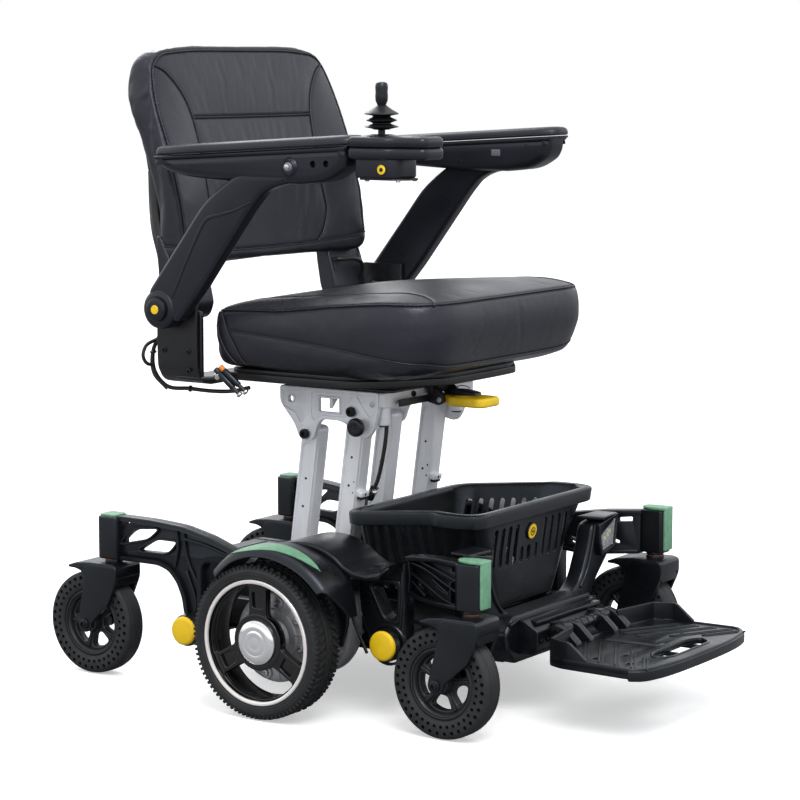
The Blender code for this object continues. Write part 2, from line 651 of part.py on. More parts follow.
# ---- seat --------------------------------------------------------------------
def seat_frame():
    """Pan, side rails and the bent straps that rise to the armrest pivots."""
    pan = box("seat_frame", (-0.205, -0.165, 0.4625), (0.205, 0.140, 0.4745), STEEL, 0.003)
    fuse(pan, box("riser", (-0.110, -0.085, HEAD_TOP + GAP), (0.110, 0.105, 0.4640), STEEL, 0.003))
    fuse(pan, box("cross_bar", (-0.250, 0.150, 0.4500), (0.250, 0.196, 0.4580), STEEL))
    fuse(pan, box("tail", (-0.150, 0.120, 0.4520), (0.150, 0.160, 0.4700), STEEL))
    for sign in (RIGHT, LEFT):
        bend = [(0.160, 0.4500), (0.228, 0.4500), (0.246, 0.4550), (0.257, 0.4680), (0.2620, 0.4900),
                (0.2620, 0.5920), (0.2560, 0.5920), (0.2560, 0.4920), (0.251, 0.4720), (0.243, 0.4620),
                (0.227, 0.4570), (0.160, 0.4570)]
        outline = [(sign * a, b) for a, b in bend]
        fuse(pan, plate("strap", outline, 0.150, 0.222, STEEL, plane="XZ"))
    fuse(pan, box("lever_block", (-0.018, -0.0900, 0.4325), (0.040, -0.0790, 0.4660), STEEL))
    for x in (-0.012, 0.032):
        ear = box("ear", (x - 0.0035, -0.1065, 0.4175), (x + 0.0035, -0.0800, 0.4400), STEEL)
        fuse(pan, ear)
    return pan


def seat_cushion():
    """Plain solid of the seat cushion's size, crowned and rounded at the front."""
    side = [(0.1480, SEAT_Z), (0.1480, 0.5600), (0.120, 0.5740), (-0.100, 0.5860), (-0.170, 0.5830),
            (-0.212, 0.5640), (-0.226, 0.5300), (-0.218, 0.5000), (-0.196, SEAT_Z)]
    cushion = plate("seat_cushion", side, -SEAT_HALF, SEAT_HALF, VINYL)
    for sign in (RIGHT, LEFT):
        bend = [(sign * (SEAT_HALF - 0.065 + wide), along) for wide, along in
                arc(0.0, -0.161, 0.065, -90, 0, 5)]
        corner = bend + [(sign * (SEAT_HALF + 0.010), -0.161), (sign * (SEAT_HALF + 0.010), -0.240),
                         (sign * (SEAT_HALF - 0.065), -0.240)]
        cut(cushion, plate("round_corner", corner, SEAT_Z - 0.01, 0.60, VINYL, plane="XY"))
    return bevel(cushion, 0.012, 2)


def back_frame():
    """Two padded uprights from the fold hinge and the stiff board behind the cushion."""
    y, z = BACK_PIVOT
    board = box("back_frame", (-0.190, -0.0045, 0.070), (0.190, 0.0045, 0.330), STEEL, 0.003)
    board.location = (0, y + 0.082, z + 0.210)
    board.rotation_euler = (-RECLINE, 0, 0)
    for sign in (RIGHT, LEFT):
        upright = [(y - 0.014, z - 0.006), (y - 0.004, z - 0.014), (y + 0.016, z - 0.004), (y + 0.030, z + 0.050),
                   (y + 0.060, z + 0.070), (y + 0.078, z + 0.120), (y + 0.066, z + 0.120), (y + 0.052, z + 0.0815),
                   (y - 0.004, z + 0.0815), (y - 0.016, z + 0.0560)]
        fuse(board, plate("upright", rounded(upright, 0.006, 2), *across(sign, 0.150, 0.238), STEEL))
        fuse(board, rod("hinge_pin", "X", (sign * 0.2300, *BACK_PIVOT), 0.0085, 0.0510, STEEL, 12))
    return board


def back_cushion():
    """Plain solid of the backrest cushion: wide, round-topped and reclined."""
    outline = rounded([(-0.2360, 0.628), (-0.2340, 0.800), (-0.2150, 0.905), (-0.150, 0.936), (0.150, 0.936),
                       (0.2150, 0.905), (0.2340, 0.800), (0.2360, 0.628)], 0.040, 3)
    lean = math.tan(RECLINE)
    pad = plate("back_cushion", outline, -0.022, 0.022, VINYL, plane="XZ")
    for vert in pad.data.vertices:
        height = vert.co.y - 0.628
        vert.co.z -= lean * height
    pad.location = (0, 0.2375, 0)
    return bevel(pad, 0.010, 2)


# ---- armrests ----------------------------------------------------------------
def arm_tilt(y):
    """Height of the line where a pad meets its shell."""
    return 0.7900 - 0.0615 * y


def armrest(side):
    """Diagonal arm with its round pivot end, and the shell that carries the pad."""
    sign = SIDES[side]
    y, z = ARM_PIVOT
    arm_ring = rounded([(0.2175, 0.5830), (0.116, 0.714), (0.087, 0.733), (0.060, 0.765), (-0.030, 0.765),
                        (-0.035, 0.745), (-0.012, 0.739), (0.013, 0.727), (0.033, 0.704), (0.122, 0.587),
                              (0.170, 0.5430)], 0.012)
    shell = [(0.204, arm_tilt(0.204) - GAP), (0.196, 0.7655), (0.179, 0.754), (0.120, 0.749), (0.060, 0.744),
             (-0.040, 0.744), (-0.095, 0.749), (-0.122, 0.762), (-0.134, arm_tilt(-0.134) - GAP)]
    body = plate("armrest_" + side, arm_ring, *across(sign, *ARM_X), PLASTIC)
    fuse(body, rod("pivot_end", "X", (sign * 0.2790, y, z), 0.0285, 0.0290, PLASTIC, 24))
    fuse(body, plate("pad_shell", shell, *across(sign, 0.240, 0.291), PLASTIC))
    fuse(body, rod("pivot_cap", "X", (sign * 0.2960, y, z), 0.0170, 0.0080, PLASTIC, 24))
    return cut(body, rod("button_bore", "X", (sign * 0.290, -0.037, 0.767), 0.0075, 0.026, PLASTIC, 12),
               rod("pivot_bore", "X", (sign * 0.2640, y, z), 0.0105, 0.010, PLASTIC, 16))


def arm_pad(side):
    sign = SIDES[side]
    low, high = across(sign, 0.238, 0.297)
    outline = [(0.207, arm_tilt(0.207) + GAP), (0.204, arm_tilt(0.204) + 0.0110), (0.170, arm_tilt(0.170) + 0.0135),
               (-0.110, arm_tilt(-0.110) + 0.0135), (-0.136, arm_tilt(-0.136) + 0.0110),
               (-0.139, arm_tilt(-0.139) + GAP)]
    return bevel(plate("arm_pad_" + side, outline, low, high, VINYL), 0.004, 2)


def arm_button(side):
    sign = SIDES[side]
    centre = (sign * 0.2895, -0.037, 0.767)
    return rod("arm_button_" + side, "X", centre, 0.0070, 0.0150, KNOB, 16)


def controller():
    """Joystick pod in line with the right armrest, on its own bracket."""
    x, y = STICK
    top = rounded([(x - 0.034, y + 0.022), (x - 0.036, y - 0.022), (x - 0.026, y - 0.038), (x - 0.024, y - 0.078),
                   (x + 0.024, y - 0.078), (x + 0.026, y - 0.038), (x + 0.036, y - 0.022), (x + 0.034, y + 0.022)],
                  0.010)
    pod = plate("controller", top, 0.7750, 0.8010, PLASTIC, plane="XY")
    base = [(x - 0.027, y + 0.020), (x - 0.027, y - 0.040), (x + 0.027, y - 0.040), (x + 0.027, y + 0.020)]
    fuse(pod, plate("pod_base", rounded(base, 0.008), 0.7500, 0.7760, PLASTIC, plane="XY"))
    fuse(pod, box("pod_bracket", (x - 0.014, y + 0.018, 0.7560), (x + 0.014, -0.1345, 0.7700), STEEL))
    fuse(pod, rod("boot_seat", "Z", (x, y, 0.8040), 0.0210, 0.0080, PLASTIC, 24))
    return cut(pod, rod("well", "Z", (x, y, 0.800), 0.0155, 0.040, PLASTIC, 24))


def joystick():
    """The gimbal inside the pod, and the knob with its bellows boot above."""
    x, y = STICK
    gimbal = turned("joystick_gimbal", [(0.0120, 0.0035), (0.0120, -0.0035), (0.0085, -0.0035), (0.0085, 0.0035)],
                    16, (x, y, STICK_Z), STEEL, "Z")
    profile = [(0.0, 0.0880), (0.0055, 0.0872), (0.0062, 0.0790), (0.0056, 0.0660), (0.0040, 0.0590),
               (0.0080, 0.0540), (0.0165, 0.0470), (0.0165, 0.0455), (0.0080, 0.0420), (0.0150, 0.0380),
               (0.0150, 0.0365), (0.0080, 0.0325), (0.0165, 0.0275), (0.0165, 0.0255), (0.0130, 0.0210),
               (0.0048, 0.0180), (0.0048, -0.0100), (0.0, -0.0100)]
    knob = turned("joystick_knob", profile, 12, (x, y, STICK_Z), PLASTIC, "Z")
    return gimbal, knob


# ---- footplate and cables ----------------------------------------------------
def footplate():
    """Ribbed flip-up tray with raised sides, a hand slot and hinge knuckles."""
    y, z = HINGE
    half = [(0.060, -0.350), (0.147, -0.366), (0.157, -0.388), (0.161, -0.500), (0.140, -0.520), (0.070, -0.530)]
    outline = [(-a, b) for a, b in half] + [(a, b) for a, b in reversed(half)]
    slot = rounded([(-0.070, -0.488), (-0.055, -0.503), (0.055, -0.503), (0.070, -0.488), (0.052, -0.474),
                    (-0.052, -0.474)], 0.008)
    tray = plate("footplate", rounded(outline, 0.008, 1), 0.0935, 0.1065, PLASTIC, [slot], plane="XY")
    for sign in (RIGHT, LEFT):
        wall = [(-0.386, 0.094), (-0.386, 0.130), (-0.400, 0.126), (-0.425, 0.106), (-0.425, 0.094)]
        fuse(tray, plate("side_wall", wall, *across(sign, 0.147, 0.1565), PLASTIC))
        fuse(tray, plate("inner_wall", [(-0.349, 0.094), (-0.349, 0.122), (-0.362, 0.122), (-0.372, 0.094)],
                         *across(sign, 0.064, 0.145), PLASTIC))
    knuckle = [(y + 0.010, z - 0.006), (y + 0.010, z + 0.006), (y + 0.004, z + 0.0105), (y - 0.014, z + 0.006),
               (-0.372, 0.106), (-0.372, 0.094), (y - 0.012, 0.100)]
    fuse(tray, plate("knuckle", rounded(knuckle, 0.004, 1), -0.0410, 0.0410, PLASTIC))
    for sign in (RIGHT, LEFT):
        fuse(tray, plate("outer_knuckle", rounded(knuckle, 0.004, 1), *across(sign, 0.0635, 0.0780), PLASTIC))
    return fuse(tray, rod("hinge_pin", "X", (0, *HINGE), 0.0040, 0.154, STEEL, 12))


HARNESS = [(-0.070, -0.046, 0.398), (-0.070, -0.044, 0.370), (-0.071, -0.038, 0.335), (-0.072, -0.030, 0.305),
           (-0.072, -0.018, 0.284)]
SEAT_LOOM = [(-0.2400, 0.2330, 0.5200), (-0.2450, 0.2430, 0.4950), (-0.2420, 0.2430, 0.4650),
             (-0.2270, 0.2310, 0.4420), (-0.2100, 0.2050, 0.4390), (-0.2030, 0.1700, 0.4370),
             (-0.2000, 0.1350, 0.4390), (-0.1980, 0.1050, 0.4460)]


def cables():
    wire("lift_harness", HARNESS, 0.0030)
    wire("seat_loom", SEAT_LOOM, 0.0030)


def build():
    main_frame()
    battery_box()
    front_cradle()
    basket()
    for side in SIDES:
        motor(side)
        side_shell(side)
        front_arm(side)
        front_cap(side)
        rear_arm(side)
        disc(side, "front", FRONT_PIVOT)
        disc(side, "rear", REAR_PIVOT)
        headlight(side)
        drive_wheel(side)
        armrest(side)
        arm_pad(side)
        arm_button(side)
    for corner in CORNERS:
        fork(corner)
        caster_wheel(corner)
    link_pair("rear_links", LIFT_REAR_TOP)
    link_pair("front_links", LIFT_FRONT_TOP)
    lift_head()
    lift_plunger()
    release_lever()
    seat_frame()
    seat_cushion()
    back_frame()
    back_cushion()
    controller()
    joystick()
    footplate()
    cables()
    bpy.context.view_layer.update()


build()
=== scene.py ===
"""Looks of the power wheelchair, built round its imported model."""
import math

import bmesh
import bpy
from mathutils import Matrix, Vector
from mathutils.bvhtree import BVHTree
from mathutils.kdtree import KDTree


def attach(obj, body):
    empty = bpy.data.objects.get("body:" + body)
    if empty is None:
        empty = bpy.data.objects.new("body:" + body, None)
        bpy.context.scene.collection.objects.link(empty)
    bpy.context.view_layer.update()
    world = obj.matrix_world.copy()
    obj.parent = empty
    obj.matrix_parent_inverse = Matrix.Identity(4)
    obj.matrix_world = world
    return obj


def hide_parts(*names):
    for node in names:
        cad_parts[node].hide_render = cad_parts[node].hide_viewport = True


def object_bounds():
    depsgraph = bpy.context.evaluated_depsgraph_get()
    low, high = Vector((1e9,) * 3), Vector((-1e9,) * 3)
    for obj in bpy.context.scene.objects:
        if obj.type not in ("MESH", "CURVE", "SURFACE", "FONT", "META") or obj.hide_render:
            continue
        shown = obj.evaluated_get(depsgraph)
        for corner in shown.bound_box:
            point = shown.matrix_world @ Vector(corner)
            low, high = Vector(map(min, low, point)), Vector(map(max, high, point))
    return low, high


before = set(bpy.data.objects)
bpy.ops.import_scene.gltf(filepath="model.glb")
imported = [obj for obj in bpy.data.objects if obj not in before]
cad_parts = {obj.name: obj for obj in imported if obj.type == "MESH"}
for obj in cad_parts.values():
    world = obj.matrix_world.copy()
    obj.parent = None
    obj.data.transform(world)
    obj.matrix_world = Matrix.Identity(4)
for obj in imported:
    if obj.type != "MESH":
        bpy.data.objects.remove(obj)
CAD_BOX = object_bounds()
AXLE = Vector((0, 0.038, 0))    # pieces are drawn with the drive axle at y = 0, then moved here


# ---- camera, light and floor ---------------------------------------------------
CAMERA_TURN, CAMERA_RISE = math.radians(-55.97), math.radians(7.42)
CAMERA_AIM, CAMERA_DISTANCE = Vector((0, 0.0166, 0.4159)), 3.822
FLOOR_HALF, FLOOR_DROP = 14, 0.0002     # the floor lies just under the tyres


def into_scene(name, data):
    """Object with this data, linked to the scene."""
    obj = bpy.data.objects.new(name, data)
    bpy.context.scene.collection.objects.link(obj)
    return obj


def pointed(name, data, place, direction):
    """Camera or lamp at place, looking along direction."""
    obj = into_scene(name, data)
    obj.location = place
    obj.rotation_mode = "QUATERNION"
    obj.rotation_quaternion = direction.to_track_quat("-Z", "Y")
    return obj


def add_camera():
    flat = math.cos(CAMERA_RISE)
    back = Vector((math.sin(CAMERA_TURN) * flat, -math.cos(CAMERA_TURN) * flat, math.sin(CAMERA_RISE)))
    data = bpy.data.cameras.new("camera")
    data.lens, data.sensor_width = 117.1, 36.0
    bpy.context.scene.camera = pointed("camera", data, CAMERA_AIM + back * CAMERA_DISTANCE, -back)


def add_lamp(name, place, aim, size, power):
    data = bpy.data.lights.new(name, "AREA")
    data.shape, data.size, data.size_y = "RECTANGLE", size, size
    data.energy = power
    pointed(name, data, place, Vector(aim) - Vector(place))


def link(tree, a, out, b, into):
    """Joins an output of node a to an input of node b."""
    tree.links.new(a.outputs[out], b.inputs[into])


def node(tree, kind, settings=(), **values):
    """New shader node with its settings, and its inputs' values; _ in an input's name stands for a space."""
    made = tree.nodes.new("ShaderNode" + kind)
    for name, value in dict(settings).items():
        setattr(made, name, value)
    for name, value in values.items():
        made.inputs[name.replace("_", " ")].default_value = value
    return made


def add_world():
    """White to the camera; a room with a dark floor and a bright ceiling to the chair."""
    world = bpy.data.worlds.new("studio")
    bpy.context.scene.world = world
    world.use_nodes = True
    tree = world.node_tree
    seen, room = tree.nodes["Background"], node(tree, "Background", Strength=1.35)
    seen.inputs["Color"].default_value = (1, 1, 1, 1)
    place, split = node(tree, "TexCoord"), node(tree, "SeparateXYZ")
    height, shade = node(tree, "MapRange", From_Min=-0.1), node(tree, "ValToRGB")
    path, mix = node(tree, "LightPath"), node(tree, "MixShader")
    stops = shade.color_ramp.elements
    for spot, tone in ((0.0, 0.08), (0.25, 0.20), (0.55, 0.62), (1.0, 1.15)):
        stop = stops.new(spot) if 0 < spot < 1 else stops[int(spot)]
        stop.color = (tone * 0.96, tone * 0.98, tone, 1)
    link(tree, place, "Generated", split, "Vector")
    link(tree, split, "Z", height, "Value")
    link(tree, height, "Result", shade, "Fac")
    link(tree, shade, "Color", room, "Color")
    link(tree, path, "Is Camera Ray", mix, "Fac")
    link(tree, room, 0, mix, 1)
    link(tree, seen, 0, mix, 2)
    link(tree, mix, 0, tree.nodes["World Output"], "Surface")


def floor_paint():
    """Pale paint that glows a little to the camera, and throws little light back at the chair."""
    mat = bpy.data.materials.new("floor_paint")
    mat.use_nodes = True
    tree = mat.node_tree
    shader = tree.nodes["Principled BSDF"]
    shader.inputs["Emission Color"].default_value = (1, 1, 1, 1)
    shader.inputs["Roughness"].default_value = 0.6
    noise, ramp = node(tree, "TexNoise", Scale=3.0), node(tree, "ValToRGB")
    for stop, tone in zip(ramp.color_ramp.elements, (0.90, 0.93)):
        stop.color = (tone, tone, tone, 1)
    path = node(tree, "LightPath")
    split = node(tree, "Mix", {"data_type": "RGBA"}, A=(0.20, 0.20, 0.21, 1))
    glow = node(tree, "Math", {"operation": "MULTIPLY"})
    glow.inputs[1].default_value = 0.42
    link(tree, noise, "Fac", ramp, "Fac")
    link(tree, path, "Is Camera Ray", split, "Factor")
    link(tree, ramp, "Color", split, "B")
    link(tree, split, "Result", shader, "Base Color")
    link(tree, path, "Is Camera Ray", glow, 0)
    link(tree, glow, 0, shader, "Emission Strength")
    return mat


def add_studio():
    add_world()
    add_lamp("key", (-1.6, -1.6, 2.9), (0, 0, 0.4), 1.6, 60)
    add_lamp("rim", (1.2, 2.0, 2.2), (0, 0, 0.5), 1.4, 26)
    data = bpy.data.meshes.new("floor")
    corners = [(a * FLOOR_HALF, b * FLOOR_HALF, 0) for a, b in ((-1, -1), (1, -1), (1, 1), (-1, 1))]
    data.from_pydata(corners, [], [(0, 1, 2, 3)])
    data.materials.append(floor_paint())
    floor = into_scene("floor", data)
    floor.location.z = CAD_BOX[0].z - FLOOR_DROP
    bpy.context.scene.view_settings.view_transform = "Standard"


# ---- materials ------------------------------------------------------------------
def finish(name, colour, rough, metal=0.0, vary=0.22, mottle=35.0, rough_vary=0.10, grain=1500.0, bump=0.12,
           leather=False, coat=0.0, stretch=(1, 1, 1), wear=0.0, depth=0.0004, sheen=None):
    """Principled material whose colour, roughness and relief vary with noise in the object's own space."""
    mat = bpy.data.materials.new(name)
    mat.use_nodes = True
    tree = mat.node_tree
    shader = tree.nodes["Principled BSDF"]
    shader.inputs["Metallic"].default_value = metal
    if sheen:
        shader.inputs["Specular Tint"].default_value = (*sheen, 1)
    if coat:
        shader.inputs["Coat Weight"].default_value = coat
        shader.inputs["Coat Roughness"].default_value = 0.08
    place, spread = node(tree, "TexCoord"), node(tree, "Mapping", Scale=stretch)
    link(tree, place, "Object", spread, "Vector")

    def noise(scale, detail):
        made = node(tree, "TexNoise", Scale=scale, Detail=detail)
        link(tree, spread, "Vector", made, "Vector")
        return made

    ramp = node(tree, "ValToRGB")
    for stop, spot, sense in zip(ramp.color_ramp.elements, (0.3, 0.7), (-1, 1)):
        stop.position = spot
        stop.color = (*[min(1, c * (1 + sense * vary)) for c in colour], 1)
    link(tree, noise(mottle, 5), "Fac", ramp, "Fac")
    if wear:
        geo = node(tree, "NewGeometry")
        edge = node(tree, "MapRange", From_Min=0.52, From_Max=0.60, To_Max=wear)
        tone = node(tree, "Mix", {"data_type": "RGBA"}, B=(*[min(1, c * 2.2 + 0.05) for c in colour], 1))
        link(tree, geo, "Pointiness", edge, "Value")
        link(tree, edge, "Result", tone, "Factor")
        link(tree, ramp, "Color", tone, "A")
        link(tree, tone, "Result", shader, "Base Color")
    else:
        link(tree, ramp, "Color", shader, "Base Color")
    gloss = node(tree, "MapRange", From_Min=0.3, From_Max=0.7, To_Min=max(0.03, rough - rough_vary),
                 To_Max=rough + rough_vary)
    link(tree, noise(mottle * 0.6, 6), "Fac", gloss, "Value")
    link(tree, gloss, "Result", shader, "Roughness")
    relief = node(tree, "Bump", Strength=bump, Distance=depth)
    if leather:
        cells = node(tree, "TexVoronoi", {"feature": "DISTANCE_TO_EDGE"}, Scale=grain)
        warp = noise(grain * 0.7, 2)
        mix = node(tree, "Mix", {"data_type": "VECTOR"}, Factor=0.0015)
        crease = node(tree, "MapRange", From_Max=0.16)
        link(tree, spread, "Vector", mix, "A")
        link(tree, warp, "Color", mix, "B")
        link(tree, mix, "Result", cells, "Vector")
        link(tree, cells, "Distance", crease, "Value")
        link(tree, crease, "Result", relief, "Height")
    else:
        link(tree, noise(grain, 3), "Fac", relief, "Height")
    link(tree, relief, "Normal", shader, "Normal")
    return mat


COOL = (0.86, 0.88, 1.0)     # bluish glint of the dark plastics and vinyl
VINYL = finish("upholstery_vinyl", (0.0135, 0.0138, 0.0185), 0.32, leather=True, grain=420, bump=0.22,
               mottle=14, rough_vary=0.06, vary=0.18, depth=0.0005, sheen=COOL)
THREAD = finish("upholstery_thread", (0.0040, 0.0045, 0.0060), 0.70, grain=2500, bump=0.3)
PAD_SKIN = finish("arm_pad_skin", (0.0110, 0.0122, 0.0155), 0.42, grain=1400, bump=0.18,
                  mottle=20, rough_vary=0.05, sheen=COOL)
SHELL = finish("arm_plastic", (0.0078, 0.0082, 0.0112), 0.32, grain=1700, bump=0.16, mottle=18,
               rough_vary=0.06, sheen=COOL)
BODY = finish("body_plastic", (0.0042, 0.0046, 0.0058), 0.32, grain=1500, bump=0.14, mottle=22, wear=0.04,
              sheen=(0.82, 0.90, 1.0))
GLOSS = finish("rim_gloss", (0.0030, 0.0030, 0.0034), 0.10, grain=300, bump=0.02, rough_vary=0.03, coat=0.3)
COAT = finish("frame_powder_coat", (0.0055, 0.0056, 0.0068), 0.36, grain=1200, bump=0.25, wear=0.06)
TYRE = finish("tyre_rubber", (0.0105, 0.0112, 0.0126), 0.66, grain=900, bump=0.30, mottle=60, vary=0.30)
SOLID = finish("caster_rubber", (0.0140, 0.0150, 0.0172), 0.62, grain=900, bump=0.22, mottle=60, vary=0.22)
CASTER = finish("caster_rim_plastic", (0.0110, 0.0118, 0.0140), 0.44, grain=1500, bump=0.12)
ALLOY = finish("lift_alloy", (0.86, 0.87, 0.90), 0.38, metal=0.30, vary=0.05, grain=700, bump=0.06, mottle=60,
               stretch=(1, 1, 0.15), rough_vary=0.08)
CAST = finish("motor_casting", (0.50, 0.50, 0.52), 0.46, metal=0.6, vary=0.12, grain=900,
              bump=0.35, mottle=70)
CHROME = finish("hub_chrome", (0.90, 0.90, 0.91), 0.07, metal=0.80, vary=0.02, grain=300,
                bump=0.01, rough_vary=0.03)
BRIGHT = finish("rim_band", (0.90, 0.86, 0.83), 0.22, metal=0.30, vary=0.03, grain=300,
                bump=0.02, rough_vary=0.04)
STEEL = finish("bolt_black", (0.020, 0.020, 0.022), 0.30, metal=0.7, grain=900, bump=0.08)
ZINC = finish("bolt_zinc", (0.50, 0.50, 0.51), 0.32, metal=0.9, vary=0.1, grain=900, bump=0.08)
GREEN = finish("green_reflector", (0.145, 0.335, 0.205), 0.42, grain=520, bump=0.5, mottle=120, vary=0.14,
               depth=0.0008)
YELLOW = finish("yellow_plastic", (0.92, 0.60, 0.008), 0.45, grain=700, bump=0.35, mottle=60, vary=0.05)
GRIP = finish("yellow_grip", (0.90, 0.60, 0.015), 0.50, grain=380, bump=0.6, mottle=90, vary=0.10,
              depth=0.0008)
GREY = finish("grey_plastic", (0.135, 0.150, 0.170), 0.40, grain=1500, bump=0.10)
RUBBER = finish("bellows_rubber", (0.0040, 0.0045, 0.0055), 0.45, grain=1500, bump=0.15)
CABLE = finish("cable_sheath", (0.012, 0.012, 0.013), 0.42, grain=700, bump=0.15)
SILVER = finish("plug_metal", (0.62, 0.62, 0.63), 0.25, metal=1.0, vary=0.1)
AMBER = finish("amber_seal", (0.75, 0.22, 0.03), 0.45)
LAMP = finish("lamp_reflector", (0.80, 0.82, 0.84), 0.14, metal=0.9, vary=0.10, mottle=300,
              grain=260, bump=0.5, depth=0.0010)
LED = finish("lamp_led", (0.95, 0.90, 0.55), 0.30, vary=0.05)


def clear_plastic():
    mat = finish("lamp_clear", (0.93, 0.95, 0.96), 0.06, vary=0.02, rough_vary=0.03, grain=240, bump=0.05)
    shader = mat.node_tree.nodes["Principled BSDF"]
    shader.inputs["Transmission Weight"].default_value = 0.85
    shader.inputs["IOR"].default_value = 1.49
    return mat


CLEAR = clear_plastic()


# ---- shapes ----------------------------------------------------------------------
def temp(data, mat, matrix=None):
    """Scratch object; merge turns it into a part of a piece."""
    obj = into_scene("shell", data)
    if matrix:
        obj.matrix_world = matrix
    if mat and not data.materials:
        data.materials.append(mat)
    return obj


def modify(obj, kind, **settings):
    """Adds a modifier with these settings."""
    mod = obj.modifiers.new(kind.lower(), kind)
    for key, value in settings.items():
        setattr(mod, key, value)
    return obj


def from_bm(bm, mat, fix=False):
    if fix:
        bmesh.ops.recalc_face_normals(bm, faces=bm.faces)
    data = bpy.data.meshes.new("shell")
    bm.to_mesh(data)
    bm.free()
    return temp(data, mat)


def arc(cy, cz, radius, start, end, count):
    """Points on an arc, angles in degrees from the first axis towards the second."""
    spread = [math.radians(start + (end - start) * k / (count - 1)) for k in range(count)]
    return [(cy + radius * math.cos(a), cz + radius * math.sin(a)) for a in spread]


def across(sign, a, b):
    """The span from a to b on the side that sign names, lower end first."""
    return sorted((sign * a, sign * b))


def circle(cy, cz, radius, count=32):
    return [(cy + radius * math.cos(math.tau * k / count), cz + radius * math.sin(math.tau * k / count))
            for k in range(count)]


def rectangle(u_low, u_high, v_low, v_high):
    return [(u_low, v_low), (u_high, v_low), (u_high, v_high), (u_low, v_high)]


def centred(u, v, half_u, half_v):
    """Rectangle about a middle."""
    return rectangle(u - half_u, u + half_u, v - half_v, v + half_v)


def both_halves(half):
    """Closed outline from its +u half, drawn from one end of the mirror line to the other."""
    return [(-u, v) for u, v in half] + [(u, v) for u, v in reversed(half)]


def two_sided(half):
    """Lathe profile from its positive half, whose last point is on the middle plane."""
    return half + [(r, -h) for r, h in reversed(half[:-1])]


def area(loop):
    return sum(a[0] * b[1] - b[0] * a[1] for a, b in zip(loop, loop[1:] + loop[:1])) / 2


def rounded(points, radius, steps=4):
    """Outline with its corners rounded; radius is one number or one per corner."""
    out = []
    count = len(points)
    for k, point in enumerate(points):
        size = radius[k] if isinstance(radius, (list, tuple)) else radius
        here = Vector(point)
        before = Vector(points[k - 1]) - here
        after = Vector(points[(k + 1) % count]) - here
        reach = min(size, before.length * 0.48, after.length * 0.48)
        if reach < 1e-5:
            out.append(tuple(here))
            continue
        start, end = here + before.normalized() * reach, here + after.normalized() * reach
        for step in range(steps + 1):
            t = step / steps
            spot = start * (1 - t) ** 2 + here * 2 * t * (1 - t) + end * t ** 2
            out.append((spot.x, spot.y))
    return out


TURNS = {"YZ": Matrix(((0, 0, 1, 0), (1, 0, 0, 0), (0, 1, 0, 0), (0, 0, 0, 1))),
         "XZ": Matrix(((1, 0, 0, 0), (0, 0, -1, 0), (0, 1, 0, 0), (0, 0, 0, 1))),
         "XY": Matrix.Identity(4)}


def plate(outline, low, high, mat, plane="YZ", holes=(), edge=0.0010, segs=2):
    """Outline in a plane, thickened from low to high along the third axis, with rounded edges."""
    data = bpy.data.curves.new("plate", "CURVE")
    data.dimensions, data.fill_mode = "2D", "BOTH"
    half = abs(high - low) / 2
    edge = min(edge, half * 0.85)
    data.extrude, data.bevel_depth, data.bevel_resolution = half - edge, edge, segs
    data.offset = -edge
    for loop, sense in [(outline, 1)] + [(hole, -1) for hole in holes]:
        loop = list(loop)
        if area(loop) * sense < 0:
            loop = loop[::-1]
        spline = data.splines.new("POLY")
        spline.points.add(len(loop) - 1)
        for point, (u, v) in zip(spline.points, loop):
            point.co = (u, v, 0, 1)
        spline.use_cyclic_u = True
    middle = (low + high) / 2
    shift = {"YZ": (middle, 0, 0), "XZ": (0, middle, 0), "XY": (0, 0, middle)}[plane]
    return temp(data, mat, Matrix.Translation(shift) @ TURNS[plane])


def block(low, high, mat, edge=0.0015, segs=3):
    """Box with rounded edges."""
    bm = bmesh.new()
    bmesh.ops.create_cube(bm, size=1)
    size = Vector(high) - Vector(low)
    bm.transform(Matrix.Translation((Vector(high) + Vector(low)) / 2) @ Matrix.Diagonal((*size, 1)))
    if edge:
        bmesh.ops.bevel(bm, geom=bm.edges[:] + bm.verts[:], offset=edge, segments=segs, profile=0.5,
                        affect="EDGES", clamp_overlap=True)
    return from_bm(bm, mat)


def lathe(profile, centre, mat, axis="X", steps=64, closed=True, aim=None):
    """Turns (radius, height) points about an axis. An open profile starts and ends at the axis."""
    bm = bmesh.new()
    rings = []
    for radius, height in profile:
        if radius < 1e-6:
            rings.append([bm.verts.new((0, 0, height))] * steps)
            continue
        rings.append([bm.verts.new((u, v, height)) for u, v in circle(0, 0, radius, steps)])
    pairs = list(zip(rings, rings[1:]))
    if closed:
        pairs.append((rings[-1], rings[0]))
    for a, b in pairs:
        for k in range(steps):
            n = (k + 1) % steps
            loop = [a[k], a[n], b[n], b[k]]
            unique = [v for i, v in enumerate(loop) if v not in loop[:i]]
            if len(unique) > 2:
                bm.faces.new(unique)
    obj = from_bm(bm, mat, fix=True)
    if aim is not None:
        turn = Vector(aim).to_track_quat("Z", "Y").to_matrix().to_4x4()
    else:
        turn = {"X": Matrix.Rotation(math.pi / 2, 4, "Y"), "Y": Matrix.Rotation(-math.pi / 2, 4, "X"),
                "Z": Matrix.Identity(4)}[axis]
    obj.matrix_world = Matrix.Translation(centre) @ turn
    return obj


